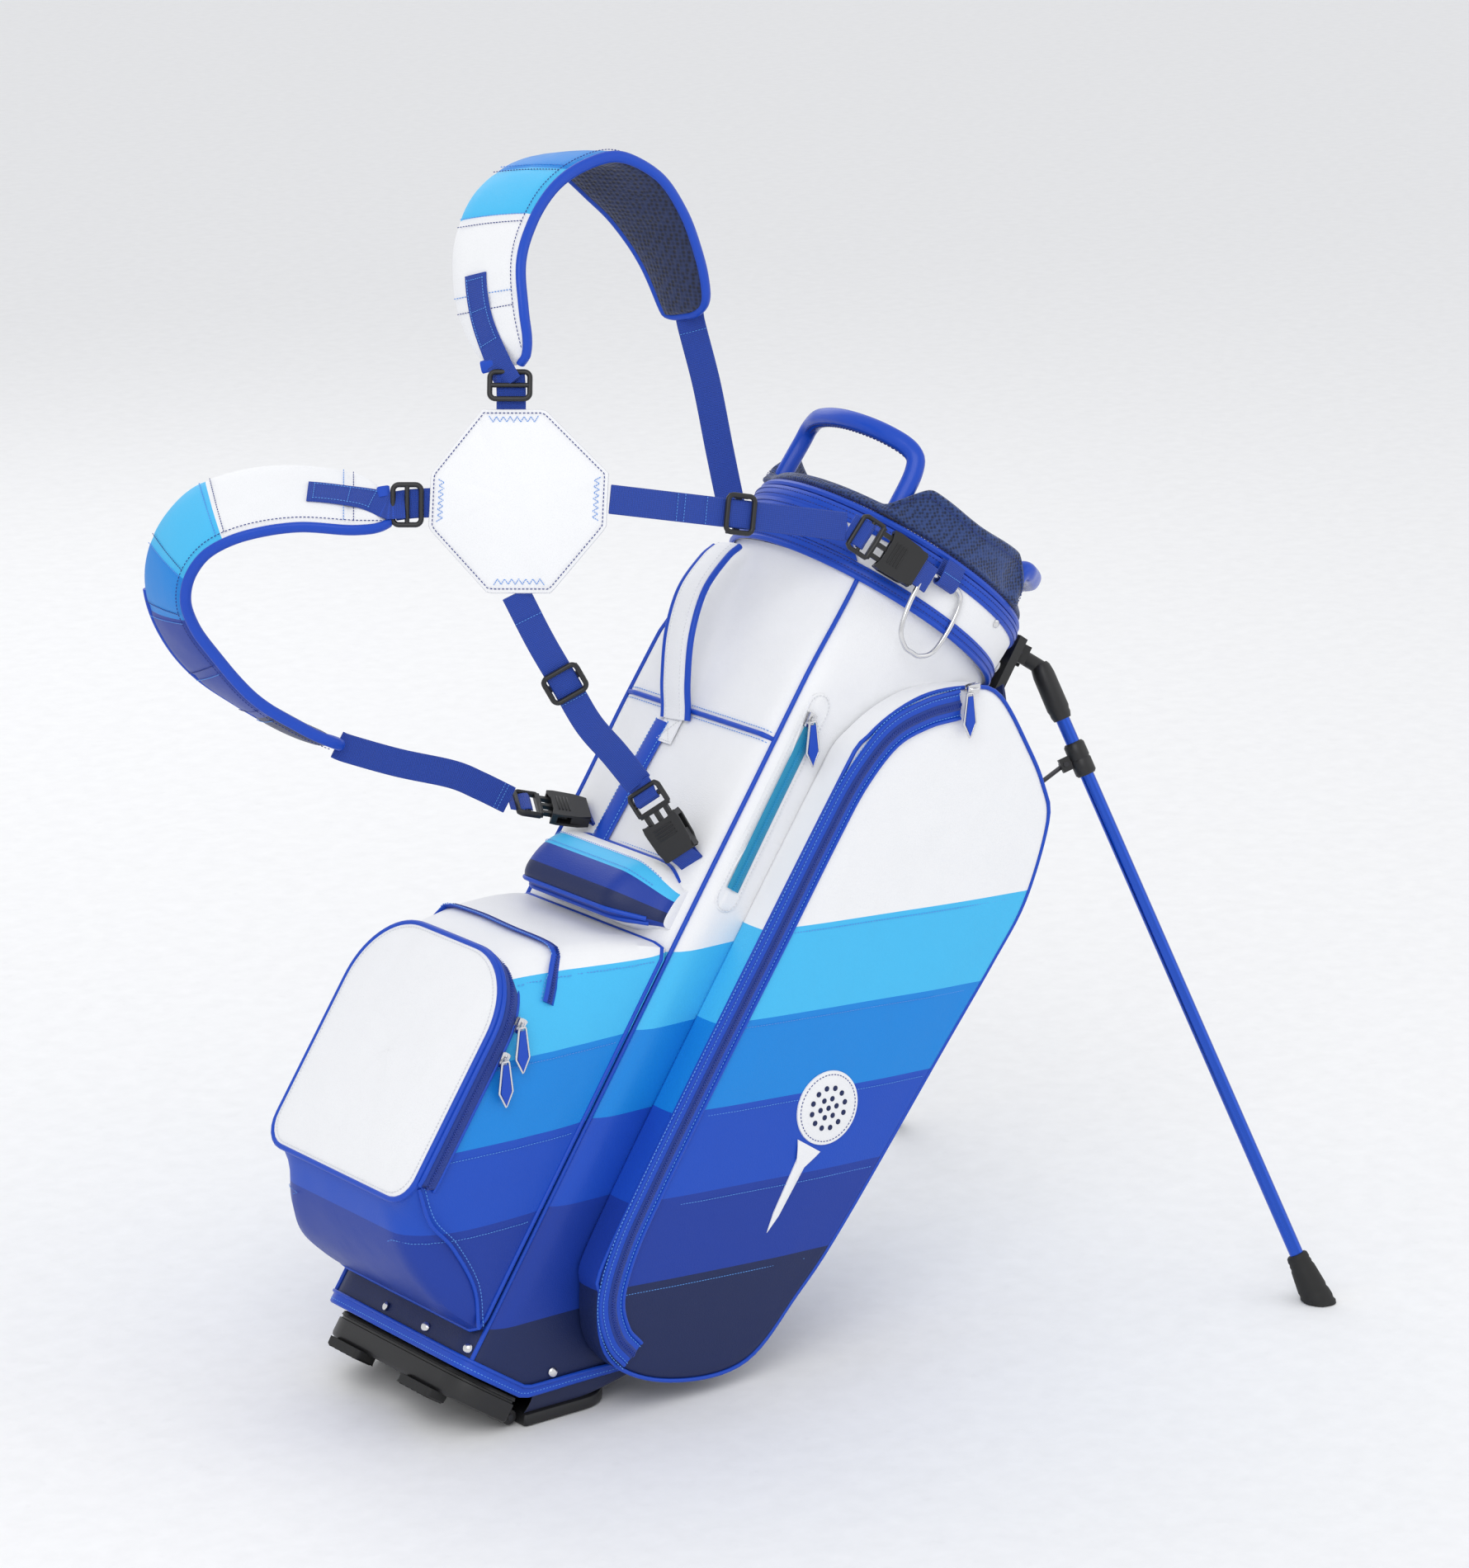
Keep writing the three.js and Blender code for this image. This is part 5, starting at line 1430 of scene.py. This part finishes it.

# ---------------------------------------------------------------- mechanism cover
cover = Pile(black, steel)
for sign in (-1, 1):
    cover.add(block(112.6, 121.8, *sorted((sign * 25, sign * 28)), 440, 534))
face = [(113, 27.8), (146, 27.8), (150.5, 25.6), (152, 21), (152, -21), (150.5, -25.6), (146, -27.8),
        (113, -27.8),
        (113, -24.8), (145, -24.8), (148.6, -20), (148.6, 20), (145, 24.8), (113, 24.8)]
cover.add(slab(face, 228, 440, lambda x, y, s: Vector((x, y, s))))
cover.add(block(112.6, 114, -27.8, 27.8, 228, 534))
for s in range(250, 430, 12):
    cover.add(rod((152.0, -17, s), (152.0, 17, s), 1.1, 8))
for y in (-18, 18):
    for s in (236, 432):
        cover.add(turned((152, y, s), (153.2, y, s), [(0, 3.2), (0.6, 3.2), (1, 2.2)], 16), 1)
cover.make("mechanism_housing", "bag", BAG, "black_plastic", ["mechanism_cover"], bevel=0.0007)

# ---------------------------------------------------------------- legs
for side, sign in (("near", -1), ("far", 1)):
    top, end = Vector((14, 0, -44)), Vector((2, 0, -628))
    leg_tube = Pile(tube_blue)
    leg_tube.add(turned(top.lerp(end, 0.002), end, [(0, 6.5), (0.5, 6.5), (1, 6.5)], 32))
    leg_tube.make(f"leg_tube_skin_{side}", f"leg_{side}", LEG[side], "blue_tube", [f"leg_tube_{side}"])
    head = Pile(black, steel)
    axis = (end - top).normalized()
    head.add(turned((15, 0, -18), top.lerp(end, 0.05),
                    [(0, 7.4), (0.06, 9.2), (0.2, 10.3), (0.8, 10.5), (0.86, 9.6),
                                                        (0.92, 9.6), (1, 8.2)], 28))
    head.add(turned((0, 0, 0), (15, 0, -22), [(0, 6.9), (1, 6.9)], 24))
    head.add(turned((0, -8, 0), (0, 8, 0), [(0, 7.8), (0.1, 8.9), (0.9, 8.9), (1, 7.8)], 28))
    head.make(f"leg_head_{side}", f"leg_{side}", LEG[side], "black_plastic", [f"leg_knuckle_{side}"])
    clamp = Pile(black, steel)
    a, b = top.lerp(end, 0.09), top.lerp(end, 0.145)
    clamp.add(turned(a, b, [(0, 8.2), (0.07, 9.9), (0.45, 10), (0.5, 9.2), (0.55, 10), (0.93, 9.9), (1, 8.2)],
                     28))
    clamp.add(block(-7, 7, -2.9, 2.9, -118.5, -105.5))
    clamp.add(turned((-2, -4.2, -112), (-2, 4.2, -112), [(0, 2.6), (1, 2.6)], 16), 1)
    clamp.make(f"leg_clamp_skin_{side}", f"leg_{side}", LEG[side], "black_plastic", [f"leg_clamp_{side}"])
    boot = Pile(rubber)
    axis_low = Vector((2, 0, -673))
    profile = [(0, 8.4), (0.02, 9.8), (0.08, 10.4), (0.11, 9.9), (0.15, 10.7), (0.19, 10.4), (0.23, 11.4),
               (0.3, 11.9),
               (0.55, 13.6), (0.6, 13.1), (0.65, 14.3), (0.75, 15.0), (0.8, 14.5), (0.85, 15.6), (1.0, 16.8)]
    verts, faces, uvs = turned((2, 0, -611), axis_low, profile, 36)
    to_row, from_row = LEG[side], LEG[side].inverted()
    level = []
    for v in verts:
        spot = to_row @ v
        if spot.z < 0.0006:
            spine = to_row @ Vector((2, 0, -611))
            share = (spine.z - 0.0006) / max(1e-6, spine.z - spot.z)
            spot = spine.lerp(spot, min(1.0, share))
        level.append(from_row @ spot)
    boot.add((level, faces, uvs))
    boot.make(f"leg_boot_{side}", f"leg_{side}", LEG[side], "black_rubber", [f"leg_foot_{side}"])

# ---------------------------------------------------------------- base and its fabric skirt
heel = Pile(black, rubber)


def rounded(x0, x1, y_half, corner_start, corner_end):
    """A plate's outline with rounded corners at its two ends."""
    outline = []
    for cx, cy, first, r in ((x1 - corner_end, y_half - corner_end, 0, corner_end),
                             (x0 + corner_start, y_half - corner_start, 90, corner_start),
                             (x0 + corner_start, corner_start - y_half, 180, corner_start),
                             (x1 - corner_end, corner_end - y_half, 270, corner_end)):
        outline += [(cx + r * cos(radians(first + 11.25 * k)), cy + r * sin(radians(first + 11.25 * k)))
                    for k in range(9)]
    return outline


def soft_plate(pile, outline, levels, matrix=None, slot=0):
    """A plate from (level, inset) steps."""
    cx = sum(x for x, y in outline) / len(outline)
    rows = []
    for z, inset in levels:
        row = []
        for x, y in outline:
            v = Vector((x - cx, y))
            v *= 1 - inset / v.length
            row.append(Vector((cx + v.x, v.y, z)))
        rows.append(row)
    pile.add(grid(rows, close_u=True), slot, matrix)


soft_plate(heel, rounded(-109, -49.5, 110, 36, 3),
           [(2, 4), (3.5, 1), (6, 0), (20, 0), (20.6, 2.4), (22.4, 2.4), (23, 0.4),
                                                   (26, 1.5), (27, 4)])
for y in (-55, 55):
    soft_plate(heel, [(x - 105.5, v + y) for x, v in rounded(-12, 12, 23.6, 5, 5)],
               [(-5.6, 2), (-4.4, 0.4), (2.4, 0)], slot=1)
    for k in range(5):
        heel.add(rod((-116, y - 18 + 9 * k, -5.4), (-95, y - 18 + 9 * k, -5.4), 1.0, 8), 1)
for sign in (-1, 1):
    heel.add(turned((-40, sign * 44, 9), (-40, sign * 100, 9), [(0, 6.4), (0.02, 7), (0.98, 7), (1, 6.4)],
                    28))
    heel.add(block(-51, -40, *sorted((sign * 45, sign * 99)), 6.2, 11.8))
heel.make("heel_moulding", "bag", BAG, "black_plastic", ["heel_base"])

toe = Pile(black, rubber)
soft_plate(toe, rounded(9, 109, 110, 3, 36),
           [(-8.9, 3), (-7.6, 0.4), (-6.5, 0), (1.2, 0), (2.2, 0.5), (3, 2.4)])
toe.add(turned((0, -42, 0), (0, 42, 0), [(0, 6.4), (0.02, 7), (0.98, 7), (1, 6.4)], 28))
toe.add(block(0, 12, -41, 41, -2.8, 2.8))
for y in (-60, -30, 0, 30, 60):
    toe.add(rod((70, y - 9, -8.0), (70, y + 9, -8.0), 0.9, 8), 1)
toe.make("toe_moulding", "toe", TOE, "black_plastic", ["toe_plate"])

# The fabric skirt between the body's lower edge and the toe plate.
def skirt_lines():
    """The skirt's edge at the body, and its edge on the toe plate, point for point."""
    upper = [BAG @ body_point(p, 0.0, 2.5) for p in BODY if p.x > -38]
    upper = [p for p in upper if p.x > BASE_X + 0.012]
    upper.sort(key=lambda p: math.atan2(p.y, p.x - BASE_X - 0.05))
    upper = evenly(upper, 0.004)
    lower = [(10, -106), (72, -106)]
    lower += [(72 + 34 * sin(radians(15 * k)), -72 - 34 * cos(radians(15 * k))) for k in range(1, 6)]
    lower += [(106, -72)]
    lower += [(x, -y) for x, y in lower[::-1]]
    foot = [TOE @ Vector((x, y, 3.3)) for x, y in lower]
    length = sum((b - a).length for a, b in zip(foot, foot[1:]))
    foot = evenly(foot, length / (len(upper) - 1))
    return upper, [foot[min(k, len(foot) - 1)] for k in range(len(upper))]


upper, foot = skirt_lines()
skirt = Pile(skirt_cloth)
rows = []
drop = [k / 7 for k in range(8)]
for u, f in zip(upper, foot):
    out = Vector((f.x - BASE_X - 0.04, f.y, 0)).normalized()
    line = [u.lerp(f, t) + Vector((0, 0, -0.003 * sin(pi * t))) for t in drop]
    rows.append(line + [p + Vector((0, 0, 0.0007)) + out * 0.0007 for p in line[::-1]])
skirt.add(grid(rows, close_u=True))
skirt_obj = skirt.make("base_skirt", None, Matrix.Identity(4), "navy_fabric")
skirt_width = sum((b - a).length for a, b in zip(upper, upper[1:]))
skirt_drop = sum((u - f).length for u, f in zip(upper, foot)) / len(upper)
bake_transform(skirt_obj)

# ---------------------------------------------------------------- CAD nodes left showing
for name in ("stay_rod_near", "stay_rod_far", "toe_hinge_pin", "leg_pin_near", "leg_pin_far",
             "spring_link_near",
             "spring_link_far"):
    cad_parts[name].material_slots[0].material = steel
for name in ("leg_bracket", "leg_slider"):
    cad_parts[name].material_slots[0].material = black

# ---------------------------------------------------------------- floor and light
floor_mesh = bpy.data.meshes.new("floor")
floor_mesh.from_pydata([(-60, -60, 0), (60, -60, 0), (60, 60, 0), (-60, 60, 0)], [], [(0, 1, 2, 3)])
floor = bpy.data.objects.new("floor", floor_mesh)
bpy.context.scene.collection.objects.link(floor)
floor_mesh.materials.append(moulded("floor_paint", (0.9, 0.9, 0.905), 0.75, 0.85, 0.02, 60.0))
for name, spot, size, power in (("key", (-2.6, -2.6, 3.4), 2.6, 54), ("fill", (2.8, -2.6, 2.2), 3.0, 12),
                                ("back", (0.6, 3.2, 2.8), 2.6, 22)):
    lamp = bpy.data.objects.new(name, bpy.data.lights.new(name, "AREA"))
    bpy.context.scene.collection.objects.link(lamp)
    lamp.location = spot
    lamp.data.size = size
    lamp.data.energy = power
    lamp.rotation_euler = (target - Vector(spot)).to_track_quat("-Z", "Y").to_euler()
world = bpy.data.worlds.new("studio")
bpy.context.scene.world = world
world.use_nodes = True
world.node_tree.nodes["Background"].inputs["Color"].default_value = (0.97, 0.98, 1.0, 1)
world.node_tree.nodes["Background"].inputs["Strength"].default_value = 0.86
bpy.context.scene.view_settings.view_transform = "Standard"

bpy.context.view_layer.update()
